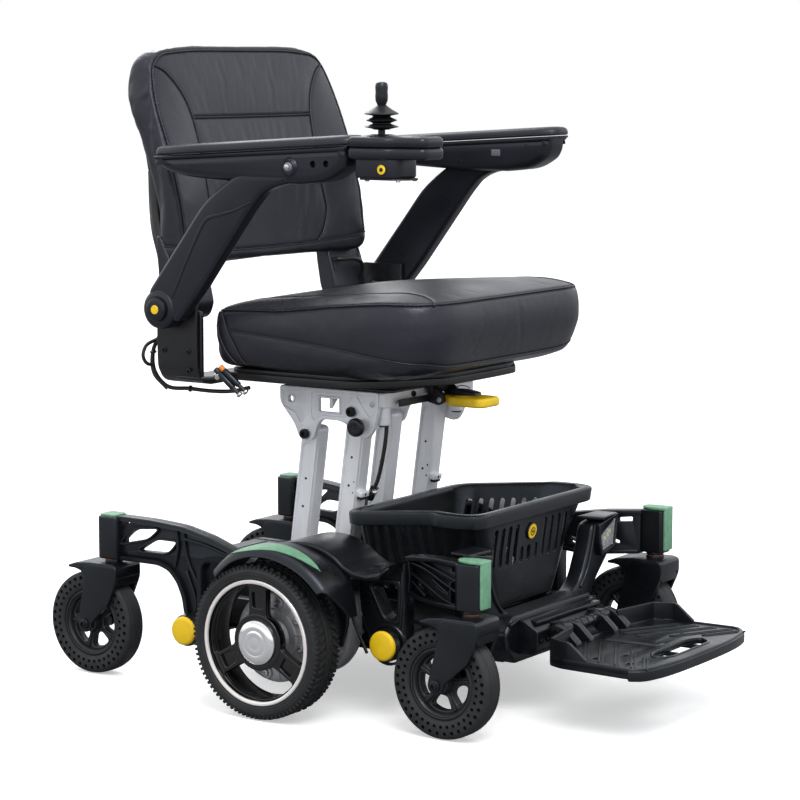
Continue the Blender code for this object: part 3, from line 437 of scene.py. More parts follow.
def pin(a, b, radius, mat, steps=24, edge=0.0006, hole=0.0):
    """Round bar from a to b with softened ends, and a hexagonal socket of radius hole in its b end."""
    a, b = Vector(a), Vector(b)
    length = (b - a).length
    edge = min(edge, radius * 0.45, length * 0.45)
    profile = [(0, 0), (radius - edge, 0), (radius - edge * 0.3, edge * 0.3), (radius, edge),
               (radius, length - edge), (radius - edge * 0.3, length - edge * 0.3), (radius - edge, length)]
    if hole:
        profile += [(hole, length), (hole * 0.98, length - hole * 0.9), (0, length - hole * 0.9)]
    else:
        profile += [(0, length)]
    return lathe(profile, a, mat, steps=steps, closed=False, aim=b - a)


def bolt(side, start, end, spot, radius, mat, *shape):
    """Pin along X at a (y, z) spot, from start to end on the side that side names."""
    return pin((side * start, *spot), (side * end, *spot), radius, mat, *shape)


def tube(points, radius, mat, sides=5, smooth=True, per_span=6):
    """Round cable or bar along the points."""
    data = bpy.data.curves.new("tube", "CURVE")
    data.dimensions = "3D"
    data.bevel_depth, data.bevel_resolution, data.use_fill_caps = radius, sides, True
    path = soften(points, per_span) if smooth else [Vector(p) for p in points]
    spline = data.splines.new("POLY")
    spline.points.add(len(path) - 1)
    for point, spot in zip(spline.points, path):
        point.co = (*spot, 1)
    return temp(data, mat)


def soften(points, per_span=6):
    """Smooth route through the points."""
    pts = [Vector(p) for p in points]
    pts = [pts[0] * 2 - pts[1]] + pts + [pts[-1] * 2 - pts[-2]]
    out = []
    for k in range(1, len(pts) - 2):
        p0, p1, p2, p3 = pts[k - 1:k + 3]
        for step in range(per_span):
            t = step / per_span
            out.append(0.5 * (2 * p1 + (p2 - p0) * t + (2 * p0 - 5 * p1 + 4 * p2 - p3) * t ** 2
                              + (3 * p1 - p0 - 3 * p2 + p3) * t ** 3))
    return out + [pts[-2]]


def smooth(points, per_span=5):
    """Smooth flat route through (u, v) points."""
    return [tuple(p.xy) for p in soften([(u, v, 0) for u, v in points], per_span)]


def mesh_of(obj):
    """Mesh of obj as it is shown, in the scene's coordinates."""
    graph = bpy.context.evaluated_depsgraph_get()
    data = bpy.data.meshes.new_from_object(obj.evaluated_get(graph), depsgraph=graph)
    data.transform(obj.matrix_world)
    if obj.matrix_world.determinant() < 0:
        data.flip_normals()
    return data


def drop(*objs):
    for obj in objs:
        bpy.data.objects.remove(obj)


def carve(obj, *tools):
    """Cuts tools out of obj for good."""
    bpy.context.view_layer.update()
    made, *cutters = [temp(mesh_of(shape), None) for shape in (obj, *tools)]
    if not made.data.materials:
        made.data.materials.append(obj.data.materials[0])
    drop(obj, *tools)
    for cutter in cutters:
        modify(made, "BOOLEAN", operation="DIFFERENCE", solver="EXACT", object=cutter)
    bpy.context.view_layer.update()
    result = temp(mesh_of(made), None)
    drop(made, *cutters)
    return result


def moved(obj, matrix):
    bpy.context.view_layer.update()
    obj.matrix_world = matrix @ obj.matrix_world
    return obj


def sheared(obj, matrix):
    """Like moved, for a matrix that slants the shape."""
    bpy.context.view_layer.update()
    data = mesh_of(obj)
    data.transform(matrix)
    drop(obj)
    return temp(data, None)


def about(y, z, angle):
    """Turn by angle degrees about the X axis through y, z."""
    spot = Matrix.Translation((0, y, z))
    return spot @ Matrix.Rotation(math.radians(angle), 4, "X") @ spot.inverted()


def lean(slope, origin):
    """Shear that moves x by slope for each metre of y beyond origin."""
    shear = Matrix.Identity(4)
    shear[0][1] = slope
    shear[0][3] = -slope * origin
    return shear


def bevel_edges(obj, width, segments=2, angle=40):
    return modify(obj, "BEVEL", width=width, segments=segments, limit_method="ANGLE",
                  angle_limit=math.radians(angle), use_clamp_overlap=True)


WELD = 2e-6


def merge(name, shells, body, nodes=(), slot=None, mirror=False, keep=False, angle=38):
    """Joins shells into the named piece, which rides on a body and stands for CAD nodes."""
    bpy.context.view_layer.update()
    bm = bmesh.new()
    mats = []
    for obj in shells:
        data = mesh_of(obj)
        single = bmesh.new()
        single.from_mesh(data)
        bmesh.ops.remove_doubles(single, verts=single.verts, dist=WELD)
        places = []
        for mat in data.materials:
            if mat not in mats:
                mats.append(mat)
            places.append(mats.index(mat))
        for face in single.faces:
            face.material_index = places[min(face.material_index, len(places) - 1)] if places else 0
            face.smooth = True
        single.to_mesh(data)
        single.free()
        bm.from_mesh(data)
        bpy.data.meshes.remove(data)
    if mirror:
        bm.transform(Matrix.Diagonal((-1, 1, 1, 1)))
        bmesh.ops.reverse_faces(bm, faces=bm.faces)
    bm.transform(Matrix.Translation(AXLE))
    data = bpy.data.meshes.new(name)
    bm.to_mesh(data)
    bm.free()
    for mat in mats:
        data.materials.append(mat)
    data.set_sharp_from_angle(angle=math.radians(angle))
    piece = into_scene(name, data)
    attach(piece, body)
    if nodes:
        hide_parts(*nodes)
    if not keep:
        drop(*shells)
    return piece


def both_sides(name, shells, body, nodes=(), slot=None, **options):
    """The same shells drawn on +X, then mirrored for the other side; names take _l and _r."""
    made = []
    for side in "lr":
        made.append(merge(name + "_" + side, shells, body.format(side), [n.format(side) for n in nodes], slot,
                          mirror=side == "r", keep=side == "l", **options))
    return made


def read(table, place):
    """Value at place in a table of (place, value) pairs, straight between entries."""
    low = max([row for row in table if row[0] <= place], default=table[0])
    high = min([row for row in table if row[0] >= place], default=table[-1])
    part = (place - low[0]) / (high[0] - low[0]) if high[0] > low[0] else 0.0
    return low[1] + (high[1] - low[1]) * part


# ---- drive wheels ----------------------------------------------------------------
DRIVE_R = 0.110
DRIVE_X = 0.302
SHOULDER_LUGS, TREAD_BARS = 92, 58


def lug(bm, x_low, x_high, r_low, r_high, angle, width, skew=0.0, taper=0.75):
    """One tread block in polar coordinates about the X axis, its top smaller than its foot."""
    corners = []
    for radius, shrink in ((r_low, 1.0), (r_high, taper)):
        for x in (x_low, x_high):
            for turn in (-1, 1):
                middle = (x_low + x_high) / 2
                edge = middle + (x - middle) * (1 - (1 - shrink) * 0.5)
                a = angle + turn * width / 2 * shrink + skew * (edge - middle)
                corners.append(bm.verts.new((edge, radius * math.cos(a), radius * math.sin(a))))
    for loop in ((0, 2, 3, 1), (4, 5, 7, 6), (0, 1, 5, 4), (2, 6, 7, 3), (0, 4, 6, 2), (1, 3, 7, 5)):
        bm.faces.new([corners[i] for i in loop])


def drive_tyre():
    inner = 0.0887
    wall = [(inner, 0.0236), (0.0905, 0.0262), (0.0925, 0.0272), (0.0935, 0.0268), (0.0945, 0.0273),
            (0.0965, 0.0275), (0.0972, 0.0270), (0.0982, 0.0274), (0.1005, 0.0272), (0.1030, 0.0262),
            (0.1048, 0.0246), (0.1060, 0.0215), (0.1068, 0.0120), (0.1070, 0.0075), (0.1058, 0.0070),
            (0.1058, 0.0058), (0.1086, 0.0052), (0.1092, 0.0020), (0.1070, 0.0014), (0.1070, 0.0)]
    shells = [lathe(two_sided(wall), (DRIVE_X, 0, DRIVE_R), TYRE, steps=120)]
    bm = bmesh.new()
    for side in (-1, 1):
        for k in range(SHOULDER_LUGS):
            pitch = math.tau / SHOULDER_LUGS
            low, high = across(side, 0.0210, 0.0262)
            lug(bm, low, high, 0.1025, 0.1078, pitch * k, pitch * 0.60, 0, 0.80)
        for k in range(TREAD_BARS):
            pitch = math.tau / TREAD_BARS
            low, high = across(side, 0.0082, 0.0198)
            lug(bm, low, high, 0.1050, 0.1094, pitch * (k + 0.5), pitch * 0.56, side * 4.5, 0.84)
    lugs = from_bm(bm, TYRE, fix=True)
    lugs.matrix_world = Matrix.Translation((DRIVE_X, 0, DRIVE_R))
    shells.append(lugs)
    return shells


def spoke_windows(grow=0.0):
    """The three openings between the spokes, grown outwards by grow."""
    loops = []
    for k in range(3):
        middle = math.radians(90 + 60 + 120 * k)
        half_spoke = 0.0150 - grow
        outer, inner = 0.0795 + grow, 0.0400 - grow
        side_a, side_b = middle - math.radians(60), middle + math.radians(60)
        outline = []
        a0 = side_a + math.asin(half_spoke / outer)
        a1 = side_b - math.asin(half_spoke / outer)
        for step in range(13):
            a = a0 + (a1 - a0) * step / 12
            outline.append((outer * math.cos(a), outer * math.sin(a)))
        i0 = side_a + math.asin(half_spoke / inner)
        i1 = side_b - math.asin(half_spoke / inner)
        for step in range(5):
            a = i1 + (i0 - i1) * step / 4
            outline.append((inner * math.cos(a), inner * math.sin(a)))
        radii = [0.010] + [0.0] * 11 + [0.010] + [0.006] + [0.0] * 3 + [0.006]
        loops.append([(u, v + DRIVE_R) for u, v in rounded(outline, radii, 5)])
    return loops


def spoke_pads():
    """A sunk pad on each spoke."""
    loops = []
    for k in range(3):
        out = math.radians(90 + 120 * k)
        along = Vector((math.cos(out), math.sin(out)))
        wide = Vector((-along.y, along.x))
        corners = [along * 0.0480 - wide * 0.0085, along * 0.0480 + wide * 0.0085,
                   along * 0.0700 + wide * 0.0100, along * 0.0700 - wide * 0.0100]
        loops.append([(u, v + DRIVE_R) for u, v in rounded([tuple(c) for c in corners], 0.003, 4)])
    return loops


def drive_rim():
    """Three-spoked rim with its bright band, axle end and wheel bolts."""
    hub = (DRIVE_X, 0, DRIVE_R)
    web, face = circle(0, DRIVE_R, 0.0832, 72), circle(0, DRIVE_R, 0.0826, 72)
    boss, bore = circle(0, DRIVE_R, 0.0400, 48), circle(0, DRIVE_R, 0.0318, 48)
    reliefs = spoke_windows(0.0004) + spoke_pads()
    shells = [plate(web, 0.3090, 0.3178, GLOSS, holes=spoke_windows(), edge=0.0022, segs=3),
              plate(face, 0.3160, 0.3216, GLOSS, holes=reliefs, edge=0.0012, segs=3),
              plate(boss, 0.3080, 0.3228, GLOSS, holes=[bore], edge=0.0015, segs=3)]
    lip = [(0.0883, 0.0243), (0.0850, 0.0243), (0.0840, 0.0236), (0.0835, 0.0218),
           (0.0822, 0.0200), (0.0822, 0.0140), (0.0800, 0.0100), (0.0800, -0.0180),
           (0.0822, -0.0240), (0.0883, -0.0240)]
    shells += [lathe(lip, hub, GLOSS, steps=96),
               lathe([(0.0885, 0.0232), (0.0887, 0.0255), (0.0876, 0.0266),
                      (0.0846, 0.0268), (0.0834, 0.0260), (0.0830, 0.0236)], hub, BRIGHT, steps=96),
               pin((0.298, 0, DRIVE_R), (0.3210, 0, DRIVE_R), 0.0125, CAST)]
    for k in range(5):
        a = math.tau * k / 5 + 0.3
        y, z = 0.0245 * math.cos(a), DRIVE_R + 0.0245 * math.sin(a)
        shells.append(pin((0.304, y, z), (0.3195, y, z), 0.0042, ZINC, 12))
    return shells


def hub_cap():
    """Domed cap with two shallow rings."""
    centre = (0.3224, 0, DRIVE_R)
    dome = [(0.0, 0.0076), (0.0060, 0.0075), (0.0080, 0.0071), (0.0095, 0.0070),
            (0.0105, 0.0073), (0.0160, 0.0072), (0.0172, 0.0066), (0.0185, 0.0066),
            (0.0195, 0.0070), (0.0240, 0.0063), (0.0285, 0.0046), (0.0308, 0.0030),
            (0.0312, 0.0014), (0.0306, 0.0), (0.0, 0.0)]
    return [lathe(dome, centre, CHROME, steps=72, closed=False)]


def gearbox():
    """Motor with its end casting; the bolts show between the spokes."""
    y, z = 0, DRIVE_R
    can = [(0.0, 0.162), (0.064, 0.162), (0.0685, 0.165), (0.0700, 0.169),
           (0.0700, 0.1985), (0.0690, 0.2000), (0.0690, 0.2030), (0.0700, 0.2045),
           (0.0700, 0.2400), (0.0690, 0.2445), (0.0655, 0.2480), (0.0640, 0.2500),
           (0.0640, 0.2800), (0.0625, 0.2835), (0.0590, 0.2850), (0.0420, 0.2850),
           (0.0400, 0.2870), (0.0300, 0.2880), (0.0260, 0.2920), (0.0, 0.2920)]
    shells = [lathe(can, (0, y, z), CAST, steps=72, closed=False)]
    for k in range(8):
        a = math.tau * k / 8 + 0.2
        cy, cz = y + 0.0520 * math.cos(a), z + 0.0520 * math.sin(a)
        shells += [pin((0.270, cy, cz), (0.2885, cy, cz), 0.0088, CAST, 24, 0.0015),
                   pin((0.280, cy, cz), (0.2925, cy, cz), 0.0050, ZINC, 16, 0.0006, 0.0026)]
        rib = block((0.276, -0.0015, 0.0280), (0.2872, 0.0015, 0.0600), CAST, 0.0008, 1)
        turn = Matrix.Rotation(a + math.tau / 16, 4, "X")
        shells.append(moved(rib, Matrix.Translation((0, y, z)) @ turn))
    for k in range(16):
        a = math.tau * k / 16
        rib = block((0.206, -0.0012, 0.0670), (0.236, 0.0012, 0.0712), CAST, 0.0006, 1)
        shells.append(moved(rib, Matrix.Translation((0, y, z)) @ Matrix.Rotation(a, 4, "X")))
    return shells


def drive_group():
    both_sides("tyre_with_lugs", drive_tyre(), "drive_wheel_{}", ["drive_tyre_{}"], "tyre_rubber")
    both_sides("spoked_rim", drive_rim(), "drive_wheel_{}", ["drive_rim_{}"], "rim_gloss")
    both_sides("domed_hub_cap", hub_cap(), "drive_wheel_{}", ["hub_cap_{}"], "hub_chrome")
    both_sides("motor_and_gearbox", gearbox(), "chassis", ["drive_motor_{}"], "motor_casting")


# ---- casters ---------------------------------------------------------------------
CASTER_R = 0.0773
CORNERS = {"fr": (-0.2558, -0.3103, 0.040), "fl": (0.2558, -0.3103, 0.040),
           "rr": (-0.2220, 0.3415, 0.035), "rl": (0.2220, 0.3415, 0.035)}     # kingpin x and y, and the trail
ROLLED = {"fr": 8, "fl": 31, "rr": 52, "rl": 17}     # how far each wheel has turned, in degrees


def caster_tyre():
    """Solid tyre, its walls pierced by two rings of round holes; drawn at the origin."""
    half = [(0.0502, 0.0150), (0.0512, 0.0166), (0.0535, 0.0172), (0.0545, 0.0180),
            (0.0600, 0.0186), (0.0700, 0.0184), (0.0738, 0.0172), (0.0760, 0.0146),
            (0.0769, 0.0110), (0.0770, 0.0098), (0.0760, 0.0092), (0.0760, 0.0084),
            (0.0772, 0.0076), (0.0773, 0.0)]
    body = lathe(two_sided(half), (0, 0, 0), SOLID, steps=108)
    bm = bmesh.new()
    for ring, (radius, size) in enumerate(((0.0588, 0.0026), (0.0680, 0.0030))):
        for k in range(36):
            a = math.tau * (k + 0.5 * ring) / 36
            spot = Vector((0, radius * math.cos(a), radius * math.sin(a)))
            for side in (-1, 1):
                aside = Matrix.Translation(spot + Vector((side * 0.0185, 0, 0)))
                bmesh.ops.create_cone(bm, cap_ends=True, segments=10, radius1=size, radius2=size, depth=0.012,
                                      matrix=aside @ Matrix.Rotation(math.pi / 2, 4, "Y"))
    return carve(body, from_bm(bm, SOLID))


def caster_rim():
    """Five-spoked centre with open windows; drawn at the origin."""
    windows = []
    for k in range(5):
        mid = math.radians(90 + 36 + 72 * k)
        points = []
        for radius, swing in ((0.0385, -0.46), (0.0395, 0.0), (0.0385, 0.46),
                              (0.0190, 0.42), (0.0190, -0.42)):
            points.append((radius * math.cos(mid + swing), radius * math.sin(mid + swing)))
        windows.append(rounded(points, [0.006, 0.010, 0.006, 0.005, 0.005], 5))
    shells = [plate(circle(0, 0, 0.0425, 60), -0.0070, 0.0070, CASTER, holes=windows, edge=0.0022, segs=3)]
    lip = [(0.0500, 0.0148), (0.0478, 0.0160), (0.0462, 0.0156), (0.0456, 0.0136),
           (0.0432, 0.0120), (0.0425, 0.0100), (0.0404, 0.0060), (0.0404, 0.0)]
    shells.append(lathe(two_sided(lip), (0, 0, 0), CASTER, steps=72))
    hub = [(0.0056, 0.0200), (0.0105, 0.0200), (0.0130, 0.0185), (0.0142, 0.0150),
           (0.0160, 0.0080), (0.0170, 0.0)]
    shells.append(lathe(two_sided(hub), (0, 0, 0), CASTER, steps=36))
    for k in range(5):
        for side in (-1, 1):
            middle = side * 0.0070
            rib = block((middle - 0.0025, -0.0022, 0.0145), (middle + 0.0025, 0.0022, 0.0410), CASTER, 0.0012)
            shells.append(moved(rib, Matrix.Rotation(math.radians(72 * k), 4, "X")))
    return shells


def fork(trail):
    """Flat crown with a beak to the rear, tapered blades and axle bolt; its kingpin is at x = y = 0."""
    crown = rounded([(-0.0265, 0.1500), (-0.0265, 0.1690), (-0.0180, 0.1722),
                     (0.0280, 0.1716), (0.0520, 0.1690), (0.0665, 0.1640),
                     (0.0660, 0.1605), (0.0520, 0.1600), (0.0410, 0.1565), (0.0360, 0.1500)],
                    [0.003, 0.004, 0.004, 0.004, 0.004, 0.0015, 0.0015, 0.004, 0.004, 0.003], 4)
    shells = [plate(crown, -0.0288, 0.0288, BODY, edge=0.0022, segs=3)]
    for side in (-1, 1):
        blade = ([(-0.0258, 0.1692), (0.0300, 0.1695), (0.0380, 0.1580), (0.0350, 0.1480)]
                 + arc(trail, CASTER_R, 0.0125, 15, -190, 12) + [(-0.0110, 0.1130), (-0.0260, 0.1480)])
        low, high = across(side, 0.0228, 0.0293)
        shells += [plate(rounded(blade, 0.006, 3), low, high, BODY, edge=0.0016, segs=3),
                   bolt(side, 0.0285, 0.0325, (trail, CASTER_R), 0.0082, BODY, 28, 0.001),
                   pin((side * 0.0300, trail, CASTER_R), (side * 0.0348, trail, CASTER_R),
                       0.0058, STEEL, 24, 0.0008, 0.0030),
                   bolt(side, 0.0205, 0.0232, (trail, CASTER_R), 0.0075, ZINC, 24, 0.0004)]
    gusset = [(-0.0245, 0.1640), (-0.0245, 0.1380), (-0.0170, 0.1560), (0.0250, 0.1600), (0.0250, 0.1640)]
    shells += [plate(rounded(gusset, 0.002), -0.0240, 0.0240, BODY, edge=0.001),
               pin((-0.030, trail, CASTER_R), (0.030, trail, CASTER_R), 0.0048, ZINC, 20),
               pin((0, 0, 0.1700), (0, 0, 0.2045), 0.0078, ZINC, 24),
               pin((0, 0, 0.1710), (0, 0, 0.1755), 0.0135, BODY, 28)]
    return shells


def caster_group():
    tyre, rim = [caster_tyre()], caster_rim()
    for corner, (x, y, trail) in CORNERS.items():
        rolled = Matrix.Rotation(math.radians(ROLLED[corner]), 4, "X")
        hub = Matrix.Translation((x, y + trail, CASTER_R)) @ rolled
        for shells, name, node, slot in ((tyre, "solid_tyre_", "caster_tyre_", "tyre_rubber"),
                                         (rim, "five_spoke_rim_", "caster_rim_", "caster_rim")):
            copies = [moved(copy_of(s), hub) for s in shells]
            merge(name + corner, copies, "caster_" + corner, [node + corner], slot)
        made = [moved(s, Matrix.Translation((x, y, 0))) for s in fork(trail)]
        merge("fork_casting_" + corner, made, "swivel_" + corner, ["fork_" + corner], "body_plastic")
    drop(*tyre, *rim)


def copy_of(obj):
    bpy.context.view_layer.update()
    return temp(obj.data, None, obj.matrix_world)


# ---- side shells and their discs ---------------------------------------------------
def inset(loop, depth):
    """The loop moved inwards by depth at every corner (outwards when negative)."""
    loop = [Vector(p) for p in loop]
    if area(loop) < 0:
        loop = loop[::-1]
    out = []
    for k, here in enumerate(loop):
        before = (here - loop[k - 1]).normalized()
        after = (loop[(k + 1) % len(loop)] - here).normalized()
        if before.length < 0.5 or after.length < 0.5:
            continue
        normal = Vector((-before.y - after.y, before.x + after.x))
        if normal.length < 1e-6:
            continue
        normal.normalize()
        along = max(0.5, normal.dot(Vector((-before.y, before.x))))
        out.append(tuple(here + normal * depth / along))
    return out


def strip(points, width):
    """Outline of a band of the given width along the points; width may be one number per point."""
    pts = [Vector(p) for p in points]
    near, far = [], []
    for k, here in enumerate(pts):
        ahead = (pts[min(k + 1, len(pts) - 1)] - pts[max(k - 1, 0)]).normalized()
        half = (width[k] if isinstance(width, (list, tuple)) else width) / 2
        side = Vector((-ahead.y, ahead.x)) * half
        near.append(tuple(here + side))
        far.append(tuple(here - side))
    return near + far[::-1]


FENDER = [(40, 0.1140), (52, 0.1178), (70, 0.1258), (90, 0.1318), (110, 0.1362), (130, 0.1420), (143, 0.1450),
          (162, 0.1330)]
FENDER_IN, FENDER_OUT = 0.2600, 0.3320


def fender_point(angle, x, lift=0.0):
    """Spot on the fender's top skin; it crowns in the middle and curls down at its outer lip."""
    radius = read(FENDER, angle)
    lip = max(0.0, (x - 0.3220) / 0.0100)
    crown = 0.0035 * math.sin(math.pi * (x - FENDER_IN) / 0.085)
    r = radius + crown - 0.0110 * lip ** 2 + lift
    a = math.radians(angle)
    return Vector((x, r * math.cos(a), DRIVE_R + r * math.sin(a)))


def skin(spot, nu, nv, mat, thick, edge=0.0):
    """Grid of spot(u, v) for u, v in 0..1, thickened towards the inside."""
    bm = bmesh.new()
    grid = [[bm.verts.new(spot(i / nu, j / nv)) for j in range(nv + 1)] for i in range(nu + 1)]
    for i in range(nu):
        for j in range(nv):
            bm.faces.new((grid[i][j], grid[i + 1][j], grid[i + 1][j + 1], grid[i][j + 1]))
    obj = from_bm(bm, mat)
    modify(obj, "SOLIDIFY", thickness=thick, offset=-1.0)
    if edge:
        bevel_edges(obj, edge, 2, 50)
    return obj


def fender():
    """Curved fender over the wheel, with the green leaf laid into it."""
    def spot(u, v):
        x = FENDER_IN + (FENDER_OUT - FENDER_IN) * v
        start = 44 + 8 * v
        end = 143 + max(0.0, min(1.0, (0.3300 - x) / 0.050)) * 19
        return fender_point(start + (end - start) * u, x)

    def leaf(u, v):
        angle = 60 + 72 * u
        wide = math.sin(math.pi * min(1.0, u * 1.02)) ** 0.62 * (1 - 0.25 * u)
        middle = 0.3105 + 0.0030 * math.cos(math.pi * u)
        return fender_point(angle, middle + (v - 0.5) * 0.0370 * max(wide, 0.02), 0.0009)
    return [skin(spot, 48, 18, BODY, 0.0040, 0.0011), skin(leaf, 48, 6, GREEN, 0.0012)]


FRONT_TUBE, REAR_TUBE = (-0.152, 0.108), (0.199, 0.086)     # y and z of the cross tubes
WINDOW = [(-0.1215, 0.1900), (-0.1670, 0.1940), (-0.1650, 0.1430), (-0.1470, 0.1430)]


def side_shell():
    """Motor hood, the wall behind the wheel, and the wedge with its framed opening."""
    hood = arc(-0.030, 0.130, 0.115, 30, 112, 22)
    saddle = [(-0.0860, 0.2300), (-0.1000, 0.2190), (-0.1170, 0.2115), (-0.1400, 0.2090), (-0.1600, 0.2140),
              (-0.1780, 0.2270)]
    under = [(-0.1600, 0.2060), (-0.1400, 0.2010), (-0.1150, 0.2030), (-0.0960, 0.2110), (-0.0800, 0.2230)]
    inner = arc(-0.030, 0.130, 0.1065, 110, 24, 20)
    shells = [plate(rounded(hood + saddle + under + inner, 0.002, 2), 0.1660, 0.2592, BODY,
                    edge=0.0034, segs=3)]
    front = [(-0.0980, 0.2100), (-0.1080, 0.1800), (-0.1060, 0.1350), (-0.0960, 0.1020)]
    wall = arc(-0.030, 0.130, 0.1085, 22, 118, 20) + front + arc(0, DRIVE_R, 0.0735, 184, 40, 22)
    shells.append(plate(rounded(wall, 0.0015, 2), 0.2500, 0.2560, BODY, edge=0.0015))
    swoop = [(-0.0310, 0.2330), (-0.0600, 0.2270), (-0.0840, 0.2110), (-0.1010, 0.1860), (-0.1120, 0.1560),
             (-0.1270, 0.1240), (-0.1400, 0.1000)]
    shells.append(plate(strip(smooth(swoop, 6), 0.0045), 0.2550, 0.2582, BODY, edge=0.0014, segs=3))
    web = [(-0.0980, 0.2180), (-0.1170, 0.2105), (-0.1400, 0.2080), (-0.1600, 0.2130), (-0.1781, 0.2260),
           (-0.1781, 0.1180), (-0.1655, 0.0870), (-0.1420, 0.0830), (-0.1300, 0.0960), (-0.1130, 0.1240),
           (-0.1040, 0.1500)]
    opening = rounded(WINDOW, 0.010, 5)
    shells.append(plate(rounded(web, 0.004, 3), 0.1950, 0.2215, BODY, holes=[opening], edge=0.0028, segs=3))
    frame_edge = rounded(inset(WINDOW, -0.0068), 0.013, 6)
    shells += [plate(frame_edge, 0.2196, 0.2232, BODY, holes=[rounded(inset(WINDOW, -0.0004), 0.0103, 6)],
                     edge=0.0017, segs=3),
               plate(strip([(-0.1745, 0.2130), (-0.1745, 0.1750), (-0.1700, 0.1220)], 0.0045),
                     0.2205, 0.2236, BODY, edge=0.0013)]
    ring = [(0.0262, 0.2190), (0.0300, 0.2190), (0.0300, 0.2232), (0.0288, 0.2246), (0.0262, 0.2246)]
    shells.append(lathe(ring, (0, *FRONT_TUBE), BODY, steps=48))
    return shells + fender()


def disc(y, z, start):
    """Reflective disc, as shells, and the black hub behind it."""
    face = [(0.0, 0.2409), (0.0165, 0.2407), (0.0192, 0.2401), (0.0206, 0.2388),
            (0.0211, 0.2368), (0.0211, 0.2354), (0.0, 0.2354)]
    hub = [(0.0, start), (0.0232, start), (0.0236, start + 0.001), (0.0236, 0.2310),
           (0.0226, 0.2330), (0.0218, 0.2350), (0.0, 0.2350)]
    return ([lathe(face, (0, y, z), YELLOW, steps=56, closed=False)],
            lathe(hub, (0, y, z), BODY, steps=56, closed=False))


# ---- front and rear arms -----------------------------------------------------------
BOSS_LOW, BOSS_TOP = 0.1805, 0.2450
FRONT_PIN, REAR_PIN = (0.2558, -0.3103), (0.2220, 0.3415)
ROOT = -0.1785


def front_arm():
    """Ribbed arm with openings from the side shell to the front kingpin's boss."""
    x, y = FRONT_PIN
    shear = lean((x - 0.205) / (y - ROOT), ROOT)
    panel = [(ROOT, 0.2270), (-0.2400, 0.2380), (y + 0.018, 0.2400), (y + 0.018, 0.1800), (-0.2350, 0.1780),
             (ROOT, 0.1810)]
    holes = [rounded([(-0.2360, 0.2090), (-0.2630, 0.1980), (-0.2630, 0.1910), (-0.2330, 0.1990)], 0.002),
             rounded([(-0.2620, 0.2310), (-0.2810, 0.2330), (-0.2810, 0.2260), (-0.2620, 0.2250)], 0.002),
             rounded([(-0.1940, 0.2010), (-0.2040, 0.1960), (-0.2060, 0.1890), (-0.1950, 0.1900)], 0.003)]
    shells = [plate(rounded(panel, 0.003), 0.1980, 0.2040, BODY, holes=holes, edge=0.0012)]
    top = [(ROOT + 0.004, 0.2290), (-0.1950, 0.2330), (-0.2400, 0.2385), (y + 0.016, 0.2405)]
    shells.append(plate(strip(top, [0.007, 0.0075, 0.0065, 0.0065]), 0.1950, 0.2160, BODY,
                        edge=0.0016, segs=3))
    base = [(ROOT + 0.002, 0.1830), (-0.2000, 0.1785), (-0.2350, 0.1775), (y + 0.020, 0.1805)]
    shells += [plate(strip(base, 0.0062), 0.1950, 0.2150, BODY, edge=0.0016, segs=3),
               plate(strip([(ROOT, 0.2280), (ROOT - 0.003, 0.2050), (ROOT, 0.1830)], 0.0055),
                     0.1950, 0.2150, BODY, edge=0.0015)]
    for path in ([(-0.1800, 0.2250), (-0.2150, 0.2210), (-0.2550, 0.2090), (-0.2900, 0.1990)],
                 [(-0.1820, 0.2110), (-0.2150, 0.2000), (-0.2500, 0.1880), (-0.2840, 0.1810)],
                 [(-0.1860, 0.1990), (-0.1980, 0.1930), (-0.2150, 0.1840)],
                 [(-0.2050, 0.2300), (-0.2450, 0.2230), (-0.2860, 0.2150)],
                 [(-0.2690, 0.2120), (-0.2690, 0.1860)], [(-0.2300, 0.2100), (-0.2660, 0.1950)]):
        shells.append(plate(strip(smooth(path), 0.0034), 0.2020, 0.2128, BODY, edge=0.0011))
    shells = [sheared(s, shear) for s in shells]
    plan = [(x - 0.0145, y + 0.0150), (x - 0.0090, y + 0.0215),
            (x + 0.0090, y + 0.0215), (x + 0.0145, y + 0.0150),
            (x + 0.0145, y - 0.0150), (x + 0.0110, y - 0.0190),
            (x - 0.0110, y - 0.0190), (x - 0.0145, y - 0.0150)]
    shells += [plate(rounded(plan, 0.0015, 2), BOSS_LOW, BOSS_TOP - 0.0004, BODY, plane="XY",
                     edge=0.0018, segs=3),
               pin((x, y, 0.1742), (x, y, BOSS_LOW + 0.0005), 0.0112, AMBER, 32, 0.0006),
               pin((x, y, 0.1765), (x, y, BOSS_LOW + 0.0005), 0.0130, BODY, 32, 0.0006)]
    return shells


def front_cap():
    """Cap over the boss: a leaf-shaped lid that turns down into a strip over the front face."""
    x, y = FRONT_PIN
    lid = [(x - 0.0130, y + 0.0040), (x - 0.0060, y + 0.0200),
           (x + 0.0060, y + 0.0200), (x + 0.0130, y + 0.0040),
           (x + 0.0130, y - 0.0230), (x - 0.0130, y - 0.0230)]
    sizes = [0.008, 0.007, 0.007, 0.008, 0.002, 0.002]
    low, high = (x - 0.0118, y - 0.0232, BOSS_LOW + 0.0040), (x + 0.0118, y - 0.0190, BOSS_TOP + 0.0042)
    return [plate(rounded(lid, sizes), BOSS_TOP, BOSS_TOP + 0.0050, GREEN, plane="XY", edge=0.0022, segs=4),
            block(low, high, GREEN, 0.0016)]


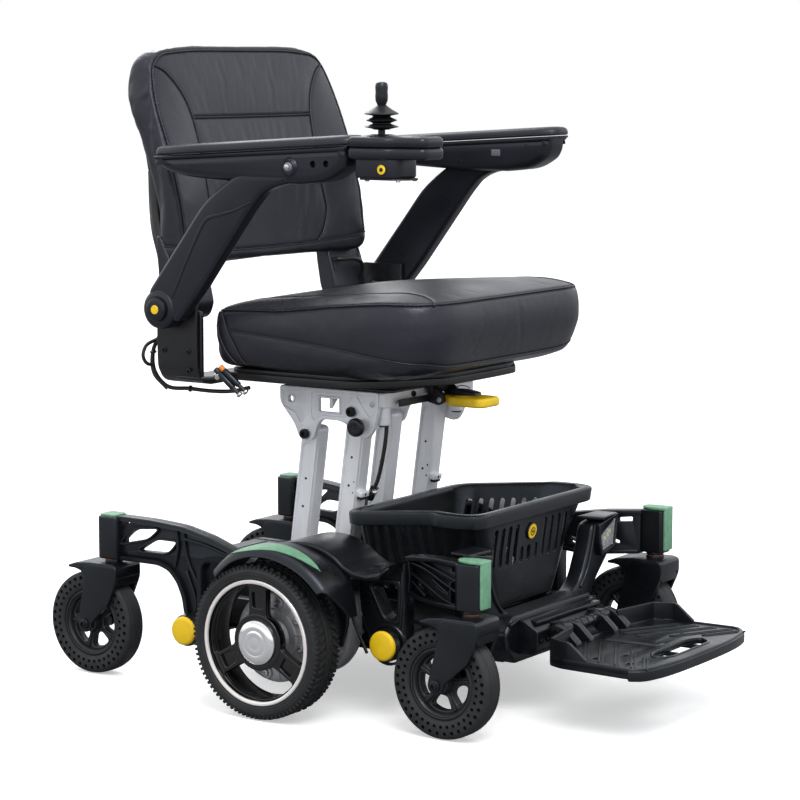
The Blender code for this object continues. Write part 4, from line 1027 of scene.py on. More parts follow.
def rear_arm():
    """Arched arm with two leaf-shaped openings from the rear tube to the rear kingpin's boss."""
    x, y = REAR_PIN
    shear = lean((x - 0.195) / (y - 0.10), 0.10)
    outline = [(y + 0.010, 0.1790), (y + 0.010, 0.2390), (0.3270, 0.2430), (0.2700, 0.2410), (0.2160, 0.2360),
               (0.1700, 0.2240), (0.1250, 0.2060), (0.0790, 0.1920), (0.0790, 0.1740), (0.1250, 0.1850),
               (0.1580, 0.1890), (0.1760, 0.1870), (0.1830, 0.1780), (0.1830, 0.1330), (0.1830, 0.0980),
               (0.1990, 0.0900), (0.2130, 0.1040), (0.2170, 0.1300), (0.2260, 0.1520), (0.2400, 0.1680),
               (0.2580, 0.1745), (y - 0.010, 0.1765)]
    outline = rounded(outline, 0.007, 3)
    leaves = [rounded([(0.3240, 0.2010), (0.3020, 0.2240), (0.2590, 0.2275), (0.2760, 0.2120)],
                      [0.004, 0.016, 0.004, 0.016], 5),
              rounded([(0.2930, 0.1930), (0.2640, 0.2120), (0.2270, 0.2110), (0.2420, 0.1930)],
                      [0.004, 0.014, 0.004, 0.012], 5)]
    corner = rounded([(0.3290, 0.2330), (0.3090, 0.2340), (0.3270, 0.2210)], 0.002)
    shells = [plate(outline, 0.1900, 0.2000, BODY, holes=leaves + [corner], edge=0.0014),
              plate(outline, 0.1850, 0.2065, BODY, holes=[inset(outline, 0.0052)], edge=0.0020, segs=3)]
    for leaf in leaves:
        shells.append(plate(rounded(inset(leaf, -0.0034), 0.001, 2), 0.1980, 0.2042, BODY,
                            holes=[inset(leaf, -0.0002)], edge=0.0014))
    for path in ([(0.2270, 0.2330), (0.2240, 0.2050), (0.2300, 0.1740)],
                 [(0.2150, 0.2330), (0.2090, 0.1900), (0.1900, 0.1500)],
                 [(0.2100, 0.1700), (0.1950, 0.1300), (0.1960, 0.1080)],
                 [(0.1060, 0.1880), (0.1700, 0.2090), (0.2180, 0.2180)]):
        shells.append(plate(strip(smooth(path), 0.0042), 0.1980, 0.2048, BODY, edge=0.0013))
    shells = [sheared(s, shear) for s in shells]
    plan = rounded(centred(x, y, 0.0185, 0.0185), 0.010, 6)
    shells.append(plate(plan, 0.1775, 0.2415, BODY, plane="XY", edge=0.0030, segs=3))
    lid = rounded(rectangle(x - 0.0150, x + 0.0150, y - 0.0150, y + 0.0165), 0.009, 6)
    shells += [plate(lid, 0.2410, 0.2446, GREEN, plane="XY", edge=0.0012),
               pin((x, y, 0.1742), (x, y, 0.1780), 0.0118, AMBER, 32, 0.0006),
               lathe([(0.0185, 0.1860), (0.0262, 0.1860), (0.0262, 0.2040),
                      (0.0245, 0.2060), (0.0185, 0.2060)], (0, *REAR_TUBE), BODY, steps=48)]
    return shells


def side_group():
    """Side shells, arms, caps and reflective discs."""
    front_face, front_hub = disc(*FRONT_TUBE, 0.2190)
    rear_face, rear_hub = disc(*REAR_TUBE, 0.2050)
    both_sides("hood_and_fender", side_shell() + [front_hub], "chassis", ["side_shell_{}"], "body_plastic")
    both_sides("truss_arm", front_arm(), "chassis", ["front_arm_{}"], "body_plastic")
    both_sides("wrapped_cap", front_cap(), "chassis", ["front_cap_{}"], "green_reflector")
    both_sides("slotted_arm", rear_arm() + [rear_hub], "chassis", ["rear_arm_{}"], "body_plastic")
    both_sides("front_reflector", front_face, "chassis", ["disc_front_{}"], "yellow_plastic")
    both_sides("rear_reflector", rear_face, "chassis", ["disc_rear_{}"], "yellow_plastic")


# ---- nose: basket, cradle, head lamps and footplate --------------------------------
# The basket at its floor, middle and rim: z at the rear and front, half-widths at the rear, the notch and
# the front, y at the rear and front, and the cut of the front corners.
LEVELS = [(0.1405, 0.1405, 0.106, 0.100, 0.096, -0.040, -0.2365, 0.024),
          (0.2060, 0.2220, 0.130, 0.130, 0.132, -0.037, -0.2440, 0.030),
          (0.2620, 0.2780, 0.146, 0.150, 0.158, -0.034, -0.2520, 0.022)]


def basket_level(height, out, rise=0.0):
    """Ring of the basket at a height from 0 (floor) to 2 (rim), grown outwards by out and lifted by rise."""
    low = min(int(height), 1)
    t = height - low
    z_rear, z_front, rear, middle, front, y_rear, y_front, cut = [
        a + (b - a) * t for a, b in zip(LEVELS[low], LEVELS[low + 1])]
    rear, middle, front, y_rear, y_front = rear + out, middle + out, front + out, y_rear + out, y_front - out
    step = 0.004 + 0.6 * max(0.0, out)
    half = [(rear - 0.018, y_rear), (rear, y_rear - 0.018), (middle, -0.182), (middle + step, -0.198),
            (front, y_front + cut), (front - cut * 0.35, y_front + cut * 0.25), (front - cut, y_front)]
    sizes = [0.012, 0.012, 0.010, 0.010, 0.012, 0.008, 0.012]
    loop = rounded(both_halves(half), sizes + sizes[::-1], 5)
    slope = (z_front - z_rear) / (0.188 + y_rear)
    return [(a, b, z_rear + rise + slope * min(y_rear + 0.188, y_rear - b)) for a, b in loop]


def loft(rings, mat):
    """Skin over a row of equal rings, closed at both ends."""
    bm = bmesh.new()
    rows = [[bm.verts.new(p) for p in ring] for ring in rings]
    for a, b in zip(rows, rows[1:]):
        for k in range(len(a)):
            n = (k + 1) % len(a)
            bm.faces.new((a[k], a[n], b[n], b[k]))
    bm.faces.new(rows[0])
    bm.faces.new(rows[-1][::-1])
    return from_bm(bm, mat, fix=True)


VENT = 0.0048     # half the width of a vent in the basket's walls


def basket():
    """Tub with a rolled rim, upright vents on three sides and a round badge."""
    path = [(0.0, -0.004, 0.0), (0.02, 0.0, 0.0015), (0.5, 0.0, 0.0), (1.0, 0.0, 0.0),
            (1.5, 0.0, 0.0), (1.86, 0.0, 0.0), (1.9, 0.0010, 0.0),
            (1.9, 0.0070, 0.0010), (1.9, 0.0076, -0.0030), (1.9, 0.0086, -0.0040),
            (1.9, 0.0098, -0.0030), (2.0, 0.0098, 0.0070), (2.0, 0.0090, 0.0095),
            (2.0, 0.0070, 0.0108), (2.0, 0.0020, 0.0112), (2.0, -0.0010, 0.0106),
            (2.0, -0.0030, 0.0080), (2.0, -0.0034, 0.0020), (1.5, -0.0034, 0.0),
            (1.0, -0.0034, 0.0), (0.5, -0.0034, 0.0), (0.08, -0.0034, 0.0020), (0.04, -0.0060, 0.0020)]
    tub = loft([basket_level(*ring) for ring in path], BODY)
    tools = []
    for k in range(7):
        y = -0.0560 - 0.0187 * k
        top = 0.2510 + 0.0160 * min(1.0, (-0.034 - y) / 0.154)
        slot = rounded(rectangle(y - VENT, y + VENT, 0.160, top), VENT, 4)
        tools.append(plate(slot, -0.20, 0.20, BODY, edge=0.0))
    for k in range(-5, 6):
        low, high = (0.2010, 0.2240) if abs(k) < 2 else (0.2010, 0.2590)
        x = 0.0190 * k
        slot = rounded(rectangle(x - VENT, x + VENT, low, high), VENT, 4)
        tools.append(plate(slot, -0.30, -0.20, BODY, plane="XZ", edge=0.0))
    for x in (-0.06, -0.02, 0.02, 0.06):
        for y in (-0.190, -0.150, -0.110, -0.070):
            slot = rounded(centred(x, y, 0.012, 0.0035), 0.0035, 4)
            tools.append(plate(slot, 0.12, 0.16, BODY, plane="XY", edge=0.0))
    shells = [carve(tub, *tools)]
    tilt = Matrix.Translation((0, -0.2480, 0.2440)) @ Matrix.Rotation(math.radians(8.0), 4, "X")
    badge = [lathe([(0.0, 0.0022), (0.0118, 0.0020), (0.0126, 0.0012), (0.0128, -0.0060),
                    (0.0, -0.0060)], (0, 0, 0), BODY, steps=40, closed=False, aim=(0, -1, 0)),
             lathe([(0.0, 0.0026), (0.0104, 0.0025), (0.0110, 0.0018), (0.0, 0.0018)], (0, 0, 0),
                   YELLOW, steps=40, closed=False, aim=(0, -1, 0)),
             lathe([(0.0048, 0.0024), (0.0058, 0.0024), (0.0058, 0.0032), (0.0048, 0.0032)],
                   (0, 0, 0), BODY, steps=32, aim=(0, -1, 0)),
             lathe([(0.0, 0.0032), (0.0020, 0.0031), (0.0022, 0.0024), (0.0, 0.0024)], (0, 0, 0),
                   BODY, steps=20, closed=False, aim=(0, -1, 0))]
    shells += [moved(piece, tilt) for piece in badge]
    for x in (-0.070, 0.070):
        shells.append(block((x - 0.005, -0.236, 0.1365), (x + 0.005, -0.225, 0.1415), BODY, 0.001))
    return shells


FLAP_AXIS = (-0.336, 0.121)     # y and z of the footplate's hinge
LENS = [(0.2010, 0.2390), (0.1550, 0.2160), (0.1610, 0.1920), (0.1920, 0.1980)]


def cradle():
    """U-shaped nose with lamp housings, and the block and lugs of the footplate hinge."""
    half = [(0.104, 0.0730), (0.124, 0.0950), (0.150, 0.1450), (0.196, 0.1860),
            (0.2030, 0.2050), (0.2040, 0.2360), (0.1860, 0.2400), (0.1440, 0.2330),
            (0.1340, 0.2000), (0.1120, 0.1560), (0.0860, 0.1400)]
    sizes = [0.006, 0.010, 0.020, 0.010, 0.010, 0.006, 0.006, 0.010, 0.030, 0.024, 0.012]
    loop = rounded(half + [(-a, b) for a, b in reversed(half)], sizes + sizes[::-1], 5)
    shells = [plate(loop, -0.2660, -0.2400, BODY, plane="XZ", edge=0.0042, segs=4)]
    bar = [(-0.104, 0.0740), (0.104, 0.0740), (0.124, 0.0960), (0.128, 0.1200),
           (0.106, 0.1420), (-0.106, 0.1420), (-0.128, 0.1200), (-0.124, 0.0960)]
    shells.append(plate(rounded(bar, 0.008, 4), -0.2850, -0.2450, BODY, plane="XZ", edge=0.0050, segs=4))
    brow = strip([(-0.1180, 0.1300), (-0.0980, 0.1355), (0.0980, 0.1355), (0.1180, 0.1300)], 0.0060)
    shells.append(plate(brow, -0.2880, -0.2800, BODY, plane="XZ", edge=0.0016))
    bead = [(0.1080, 0.1460), (0.1290, 0.1700), (0.1420, 0.2040), (0.1500, 0.2320)]
    housing = [(0.2050, 0.2440), (0.1480, 0.2340), (0.1490, 0.2060), (0.1560, 0.1850), (0.1960, 0.1900)]
    for sign in (-1, 1):
        loops = bead, housing, inset(LENS, -0.0010)
        line, around, hole = ([(sign * a, b) for a, b in loop] for loop in loops)
        shells += [plate(strip(smooth(line, 6), 0.0050), -0.2690, -0.2600, BODY, plane="XZ", edge=0.0016),
                   plate(rounded(around, 0.004), -0.2760, -0.2620, BODY, plane="XZ",
                         holes=[rounded(hole, 0.002)], edge=0.0018, segs=3)]
        visor = [(sign * 0.1420, -0.2400), (sign * 0.2010, -0.2400),
                 (sign * 0.2050, -0.2740), (sign * 0.1560, -0.2790)]
        shells.append(plate(rounded(visor, 0.004), 0.2390, 0.2440, BODY, plane="XY", edge=0.0016))
    hinge = [(-0.2800, 0.1390), (-0.2960, 0.1360), (-0.3190, 0.1230), (-0.3190, 0.0960), (-0.3120, 0.0890),
             (-0.2800, 0.0870)]
    shells += [plate(rounded(hinge, 0.003), -0.0980, 0.0980, BODY, edge=0.0030, segs=3),
               plate(rounded([(-0.0900, -0.3120), (0.0900, -0.3120),
                              (0.0840, -0.2960), (-0.0840, -0.2960)], 0.003), 0.1300, 0.1350,
                     BODY, plane="XY", edge=0.0012)]
    for sign in (-1, 1):
        lug_loop = [(-0.3150, 0.1060),
                    (-0.3150, 0.1300)] + arc(*FLAP_AXIS, 0.0095, 80, 250, 10) + [(-0.330, 0.1075)]
        low, high = across(sign, 0.0430, 0.0615)
        shells += [plate(lug_loop, low, high, BODY, edge=0.0014, segs=3),
                   bolt(sign, 0.0410, 0.0632, FLAP_AXIS, 0.0056, STEEL, 24)]
        for x in (sign * 0.0700, sign * 0.0880):
            shells.append(pin((x, -0.3180, 0.1080), (x, -0.3212, 0.1080), 0.0036, STEEL, 18, 0.0005, 0.0018))
    shells.append(block((-0.080, -0.245, 0.0885), (0.080, -0.1750, 0.1000), BODY, 0.0015))
    return shells


def head_lamp():
    """Faceted clear cover over a bright reflector with three light sources."""
    bm = bmesh.new()
    middle = bm.verts.new((0.1780, -0.2765, 0.2120))
    rim = [bm.verts.new((a, -0.2725, b)) for a, b in LENS]
    back = [bm.verts.new((a, -0.2690, b)) for a, b in LENS]
    for k in range(4):
        n = (k + 1) % 4
        bm.faces.new((middle, rim[k], rim[n]))
        bm.faces.new((rim[k], back[k], back[n], rim[n]))
    bm.faces.new(back[::-1])
    cover = from_bm(bm, CLEAR, fix=True)
    bowl = plate(LENS, -0.2685, -0.2640, LAMP, plane="XZ", edge=0.0006)
    shells = [cover, bowl]
    for t in (0.25, 0.5, 0.75):
        x, z = 0.1650 + 0.0250 * t, 0.2050 + 0.0180 * t
        shells.append(pin((x, -0.2665, z), (x, -0.2698, z), 0.0032, LED, 16, 0.0006))
    for k in range(5):
        x = 0.1640 + 0.0075 * k
        shells.append(block((x, -0.2696, 0.2000), (x + 0.0010, -0.2680, 0.2180), LAMP, 0.0002, 1))
    return shells


FLAP = [(0.0600, -0.3500), (0.1470, -0.3660), (0.1570, -0.3880), (0.1610, -0.5000), (0.1400, -0.5180),
        (0.0700, -0.5290)]


def footplate():
    """Ribbed plate with a hand slot, side walls and hinge knuckles."""
    sizes = [0.004, 0.006, 0.010, 0.012, 0.016, 0.040]
    outer = rounded(both_halves(FLAP), sizes + sizes[::-1], 5)
    slot = [(-0.0700, -0.4860), (-0.0560, -0.5040), (0.0560, -0.5040), (0.0700, -0.4860), (0.0500, -0.4740),
            (-0.0500, -0.4740)]
    slot = rounded(slot, [0.007, 0.010, 0.010, 0.007, 0.014, 0.014], 5)
    holes = [slot]
    for x, y in ((0.121, -0.424), (0.083, -0.4490), (0.1220, -0.4780)):
        for sign in (-1, 1):
            holes.append(rounded(centred(sign * x, y, 0.0048, 0.0042), 0.001, 2))
    shells = [plate(outer, 0.0965, 0.1040, BODY, plane="XY", holes=holes, edge=0.0012),
              plate(outer, 0.0915, 0.1062, BODY, plane="XY", holes=[inset(outer, 0.0055)], edge=0.0022,
                    segs=3),
              plate(rounded(inset(slot, -0.0045), 0.001, 2), 0.1020, 0.1054, BODY, plane="XY",
                    holes=[inset(slot, -0.0003)], edge=0.0012)]
    lip = both_halves([(0.1585, -0.4980)] + FLAP[4:])
    front = strip(smooth([(a, b + 0.0030) for a, b in lip]), 0.0060)
    shells.append(plate(front, 0.0885, 0.1035, BODY, plane="XY", edge=0.0022, segs=3))
    for sign in (-1, 1):
        rear = [(sign * 0.0640, -0.3530), (sign * 0.1440, -0.3680),
                (sign * 0.1540, -0.3890), (sign * 0.1545, -0.4000)]
        shells.append(plate(strip(rear, 0.0046), 0.0950, 0.1300, BODY, plane="XY", edge=0.0014, segs=3))
        wall = [(-0.3960, 0.0950), (-0.3960, 0.1298), (-0.4040, 0.1285), (-0.4300, 0.1080), (-0.4300, 0.0950)]
        low, high = across(sign, 0.1520, 0.1568)
        shells.append(plate(rounded(wall, 0.002), low, high, BODY, edge=0.0014, segs=3))
        for y, start, end in ((-0.3560, 0.044, 0.136), (-0.3790, 0.034, 0.140), (-0.4040, 0.030, 0.143),
                              (-0.4290, 0.056, 0.144), (-0.4480, 0.086, 0.145)):
            path = [(sign * start, y - 0.55 * (start - 0.030)), (sign * end, y - 0.55 * (end - 0.030))]
            if path[1][1] > -0.372:
                path[1] = (sign * 0.090, y - 0.55 * 0.060)
            shells.append(plate(strip(path, 0.0032), 0.1030, 0.1058, BODY, plane="XY", edge=0.0010))
            near = [(a, b - 0.0058) for a, b in path]
            shells.append(plate(strip(near, 0.0022), 0.1030, 0.1052, BODY, plane="XY", edge=0.0008))
    shells.append(plate(rounded([(-0.0200, -0.3760), (0.0200, -0.3760),
                                 (0.0100, -0.4620), (-0.0100, -0.4620)], 0.006), 0.1030, 0.1050,
                        BODY, plane="XY", edge=0.0010))
    knuckle = [(-0.3260, 0.1150), (-0.3260, 0.1270), (-0.3320, 0.1315), (-0.3500, 0.1270), (-0.3700, 0.1090),
               (-0.3700, 0.0960), (-0.3480, 0.1000)]
    for low, high in ((-0.0410, -0.0290), (0.0290, 0.0410), (-0.0780, -0.0635), (0.0635, 0.0780)):
        shells.append(plate(rounded(knuckle, 0.004), low, high, BODY, edge=0.0016, segs=3))
    shells.append(pin((-0.0300, *FLAP_AXIS), (0.0300, *FLAP_AXIS), 0.0088, BODY, 36, 0.001))
    for x in (-0.016, 0.0, 0.016):
        shells.append(pin((x - 0.0015, *FLAP_AXIS), (x + 0.0015, *FLAP_AXIS), 0.0096, BODY, 36, 0.0004))
    for sign in (-1, 1):
        shells.append(bolt(sign, 0.0760, 0.0800, FLAP_AXIS, 0.0062, STEEL, 24, 0.0008, 0.0030))
    for x in (-0.120, -0.060, 0.0, 0.060, 0.120):
        shells.append(block((x - 0.0012, -0.5000, 0.0900), (x + 0.0012, -0.3700, 0.0970), BODY, 0.0006, 1))
    return shells


def nose_group():
    merge("vented_basket", basket(), "basket_lift", ["basket"], "body_plastic")
    merge("nose_cradle", cradle(), "chassis", ["front_cradle"], "body_plastic")
    both_sides("faceted_head_lamp", head_lamp(), "chassis", ["headlight_{}"], "lamp_lens", angle=20)
    merge("ribbed_footplate", footplate(), "footplate_flap", ["footplate"], "body_plastic")


# ---- seat lift ---------------------------------------------------------------------
LIFT_LEN, LIFT_LEAN = 0.235, 7.6
REAR_TOP, FRONT_TOP = (0.062, 0.374), (-0.020, 0.412)


def foot_of(top):
    """Lower pin of a link, from its upper pin."""
    lean_by = math.radians(LIFT_LEAN)
    return top[0] + LIFT_LEN * math.sin(lean_by), top[1] - LIFT_LEN * math.cos(lean_by)


def painted_hole_shade(x, y, z, out, radius=0.0019):
    """Small black disc just proud of a face at x that looks along out: painted shade standing for a blind
    hole.
    """
    return pin((x - out * 0.0020, y, z), (x + out * 0.00025, y, z), radius, BODY, 14, 0.0001)


def links(top, clamps):
    """Two extruded channels with round-ended pockets, on a torque tube; drawn upright, then leaned."""
    foot = foot_of(top)
    bar = rounded(rectangle(-0.0135, 0.0135, -0.010, LIFT_LEN + 0.010), 0.008, 6)
    pocket = rounded(rectangle(-0.0102, 0.0102, 0.004, LIFT_LEN - 0.016), 0.009, 6)
    shells = []
    for sign in (-1, 1):
        pieces = [plate(bar, *across(sign, 0.0845, 0.1085), ALLOY, edge=0.0012)]
        for low, high in (across(sign, 0.1080, 0.1110), across(sign, 0.0820, 0.0850)):
            pieces.append(plate(bar, low, high, ALLOY, holes=[pocket], edge=0.0006, segs=2))
        for face in (-0.0135, 0.0135):
            low, high = across(sign, 0.0880, 0.1050)
            pieces.append(block((low, face - 0.0004, 0.010),
                                (high, face + 0.0004, LIFT_LEN - 0.020), ALLOY, 0.0003, 1))
        holes = [(0.0, 0.166), (0.0, 0.124)] + ([(-0.0085, 0.131), (-0.0085, 0.115)] if clamps else [])
        # no hole is cut here: each spot gets a black disc of painted shade on both faces of the channel
        for u, v in holes:
            pieces += [painted_hole_shade(sign * 0.1085, u, v, sign, 0.0019 if u == 0 else 0.0013),
                       painted_hole_shade(sign * 0.0845, u, v, -sign, 0.0019)]
        if clamps:
            low, high = across(sign, 0.0860, 0.1060)
            pieces += [block((low, -0.0225, 0.110), (high, -0.0130, 0.1185), ALLOY, 0.0014),
                       block((low + 0.002, -0.0215, 0.106), (high - 0.002, -0.0135, 0.1105), BODY, 0.0008),
                       pin((sign * 0.096, -0.0218, 0.1143), (sign * 0.096, -0.0232, 0.1143),
                           0.0020, STEEL, 14)]
        pieces.append(bolt(sign, 0.1085, 0.1118, (0, 0), 0.0095, ALLOY, 28))
        shells += pieces
    shells.append(pin((-0.0850, 0, 0), (0.0850, 0, 0), 0.0122, ALLOY, 36, 0.0008))
    for x in (-0.070, -0.020, 0.020, 0.070):
        shells.append(pin((x - 0.003, 0, 0), (x + 0.003, 0, 0), 0.0134, ALLOY, 36, 0.0006))
    lean_over = Matrix.Translation((0, *foot)) @ Matrix.Rotation(math.radians(LIFT_LEAN), 4, "X")
    shells = [moved(s, lean_over) for s in shells]
    for sign in (-1, 1):
        shells.append(bolt(sign, 0.1100, 0.1245, foot, 0.0060, STEEL, 20))
    return shells


HEAD = [(0.1090, 0.4420), (0.1090, 0.4180), (0.1010, 0.4080), (0.0820, 0.3860),
        (0.0740, 0.3640), (0.0500, 0.3640), (0.0380, 0.3970), (0.0050, 0.3970),
        (-0.0100, 0.3930), (-0.0180, 0.3800), (-0.0460, 0.3740), (-0.0560, 0.3860),
        (-0.0640, 0.4140), (-0.0640, 0.4420)]


def lift_head():
    """Cast bracket: two pocketed cheeks with the upper bolts, a top plate, a front beam and two posts."""
    window = [(0.0400, 0.4280), (0.0400, 0.4080), (0.0040, 0.4080), (0.0040, 0.4280)]
    eye = circle(0.0900, 0.4230, 0.0046, 20)
    outline = rounded(HEAD, [0.004, 0.006, 0.008, 0.010, 0.010, 0.010, 0.012, 0.006, 0.010, 0.010,
                             0.012, 0.012, 0.004, 0.004], 4)
    pockets = [rounded([(0.1035, 0.4340), (0.0630, 0.4355), (0.0630, 0.3960),
                        (0.0720, 0.3880), (0.0830, 0.4050), (0.1035, 0.4120)], 0.005, 4),
               rounded([(0.0530, 0.4350), (-0.0200, 0.4355), (-0.0100, 0.4190), (-0.0080, 0.4030),
                        (0.0350, 0.4030), (0.0470, 0.3930), (0.0530, 0.3990)], 0.004, 4),
               rounded([(-0.0270, 0.4350), (-0.0590, 0.4355), (-0.0590, 0.4120),
                        (-0.0500, 0.4040), (-0.0400, 0.4160)], 0.004, 4)]
    shells = []
    for sign in (-1, 1):
        shells += [plate(outline, *across(sign, 0.1118, 0.1178), ALLOY,
                         holes=[rounded(window, 0.0015), eye], edge=0.0008),
                   plate(outline, *across(sign, 0.1160, 0.1202), ALLOY, holes=pockets, edge=0.0013, segs=3)]
        for loop, hole in ((circle(0.0900, 0.4230, 0.0070, 24), circle(0.0900, 0.4230, 0.0046, 24)),
                           (rounded(inset(window, -0.0030), 0.002), inset(rounded(window, 0.0015), 0.0001))):
            shells.append(plate(loop, *across(sign, 0.1170, 0.1196), ALLOY, holes=[hole], edge=0.0009))
        shells.append(bolt(sign, 0.1170, 0.1186, (-0.0530, 0.4240), 0.0042, ZINC, 24))
        for y, z in (REAR_TOP, FRONT_TOP):
            shells += [bolt(sign, 0.0845, 0.1190, (y, z), 0.0060, STEEL, 24),
                       bolt(sign, 0.1190, 0.1212, (y, z), 0.0088, ZINC, 28, 0.0005),
                       bolt(sign, 0.1205, 0.1275, (y, z), 0.0072, STEEL, 30, 0.0012, 0.0036)]
        post = [(0.0, 0.3925), (0.0085, 0.3925), (0.0098, 0.3938), (0.0100, 0.3960),
                (0.0100, 0.4020), (0.0094, 0.4026), (0.0100, 0.4032), (0.0100, 0.4400), (0.0, 0.4400)]
        shells += [lathe(post, (sign * 0.0960, -0.0580, 0), ALLOY, axis="Z", steps=40, closed=False),
                   pin((sign * 0.0960, -0.0580, 0.3905), (sign * 0.0960, -0.0580, 0.3930), 0.0076,
                       BODY, 28)]
        gusset = [(sign * 0.1120, 0.4350), (sign * 0.1120, 0.4120), (sign * 0.0880, 0.4350)]
        shells += [plate(rounded(gusset, 0.001, 2), 0.0800, 0.0860, ALLOY, plane="XZ", edge=0.0010),
                   plate(rounded(gusset, 0.001, 2), 0.0200, 0.0260, ALLOY, plane="XZ", edge=0.0010)]
    shells.append(block((-0.1150, -0.0600, 0.4350), (0.1150, 0.1060, 0.4418), ALLOY, 0.0012))
    beam = [(-0.1180, 0.4418), (0.1180, 0.4418), (0.1180, 0.4200), (0.0860, 0.4200),
            (0.0760, 0.4270), (0.0200, 0.4270), (-0.0100, 0.4240), (-0.0600, 0.4240),
            (-0.0760, 0.4290), (-0.0860, 0.4200), (-0.1180, 0.4200)]
    shells.append(plate(rounded(beam, 0.003), -0.0740, -0.0640, ALLOY, plane="XZ", edge=0.0014, segs=3))
    for x in (-0.045, 0.050):
        shells.append(pin((x, -0.0740, 0.4340), (x, -0.0775, 0.4340), 0.0042, STEEL, 20, 0.0006, 0.0022))
    return shells


def plunger():
    """Knurled round knob on a bright neck."""
    y, z = -0.036, 0.392
    disc = [(0.0, 0.0110), (0.0030, 0.0108), (0.0036, 0.0100), (0.0060, 0.0103),
            (0.0108, 0.0104), (0.0124, 0.0094), (0.0130, 0.0078), (0.0130, 0.0026),
            (0.0122, 0.0010), (0.0105, 0.0), (0.0, 0.0)]
    knob = lathe(disc, (-0.1290, y, z), BODY, steps=60, closed=False, aim=(-1, 0, 0))
    shells = [knob, pin((-0.1150, y, z), (-0.1225, y, z), 0.0036, ZINC, 20),
              pin((-0.1210, y, z), (-0.1292, y, z), 0.0062, ZINC, 28)]
    for k in range(30):
        rib = block((-0.1378, -0.0004, 0.0124), (-0.1312, 0.0004, 0.0134), BODY, 0.0002, 1)
        shells.append(moved(rib, Matrix.Translation((0, y, z)) @ Matrix.Rotation(math.tau * k / 30, 4, "X")))
    return shells


def release_handle():
    """Textured yellow loop with a black latch on top and its spring wire."""
    outside = [(0.0230, -0.1000), (0.0230, -0.1100), (0.0340, -0.1160),
               (0.0340, -0.1680), (0.0280, -0.1770), (-0.0130, -0.1770),
               (-0.0200, -0.1680), (-0.0200, -0.1160), (-0.0030, -0.1100), (-0.0030, -0.1000)]
    inside = [(0.0240, -0.1240), (0.0240, -0.1620), (0.0200, -0.1660), (-0.0060, -0.1660), (-0.0100, -0.1620),
              (-0.0100, -0.1240)]
    shells = [plate(rounded(outside, 0.008, 5), 0.4160, 0.4295, GRIP, plane="XY",
                    holes=[rounded(inside, 0.005, 4)], edge=0.0040, segs=4),
              pin((-0.0070, -0.1000, 0.4235), (0.0270, -0.1000, 0.4235), 0.0056, GRIP, 28, 0.001)]
    latch = [(-0.0980, 0.4300), (-0.0980, 0.4360), (-0.1200, 0.4385), (-0.1500, 0.4355), (-0.1520, 0.4315),
             (-0.1300, 0.4298)]
    shells.append(plate(rounded(latch, 0.0015), 0.0010, 0.0190, BODY, edge=0.0013, segs=3))
    for k in range(5):
        y = -0.1290 - 0.0040 * k
        shells.append(block((0.0030, y - 0.0006, 0.4350), (0.0170, y + 0.0006, 0.4388 - 0.0004 * k),
                            BODY, 0.0004, 1))
    wire = [(0.0225, -0.0990, 0.4300), (0.0235, -0.1080, 0.4400),
            (0.0215, -0.1220, 0.4415), (0.0170, -0.1320, 0.4395)]
    shells.append(tube(wire, 0.0007, ZINC, 3))
    return shells


HARNESS = [(-0.070, -0.046, 0.398), (-0.070, -0.044, 0.370), (-0.071, -0.038, 0.335), (-0.072, -0.030, 0.305),
           (-0.072, -0.018, 0.284)]


def harness():
    """Cable down a front link with its strain reliefs and plug."""
    shells = [tube(HARNESS, 0.0030, CABLE, 6, per_span=8)]
    start, end = Vector(HARNESS[0]), Vector(HARNESS[-1])
    shells.append(pin(start + Vector((0, 0, 0.006)), start - Vector((0, -0.001, 0.010)), 0.0044, BODY, 24))
    away = (end - Vector(HARNESS[-2])).normalized()
    shells += [pin(end - away * 0.014, end, 0.0050, BODY, 24, 0.0010),
               pin(end - away * 0.004, end + away * 0.006, 0.0070, BODY, 28, 0.0010)]
    for k in range(3):
        spot = end - away * (0.006 + 0.0035 * k)
        shells.append(pin(spot - away * 0.0007, spot + away * 0.0007, 0.0056, BODY, 24, 0.0003))
    side = Vector((-0.35, -0.75, 0.55)).normalized()
    shells += [pin(end, end + side * 0.0130, 0.0052, BODY, 24, 0.0010),
               pin(end + side * 0.0125, end + side * 0.0145, 0.0036, SILVER, 20, 0.0005)]
    return shells


def lift_group():
    merge("rear_channel_links", links(REAR_TOP, False), "rear_link_pair", ["rear_links"], "lift_alloy")
    merge("front_channel_links", links(FRONT_TOP, True), "front_link_pair", ["front_links"], "lift_alloy")
    merge("cast_lift_head", lift_head(), "seat", ["lift_head"], "lift_alloy")
    merge("knurled_pull_knob", plunger(), "plunger", ["lift_plunger"], "body_plastic")
    merge("loop_handle", release_handle(), "lever", ["release_lever"], "yellow_plastic")
    merge("harness_with_plug", harness(), "front_link_pair", ["lift_harness"], "cable_sheath")


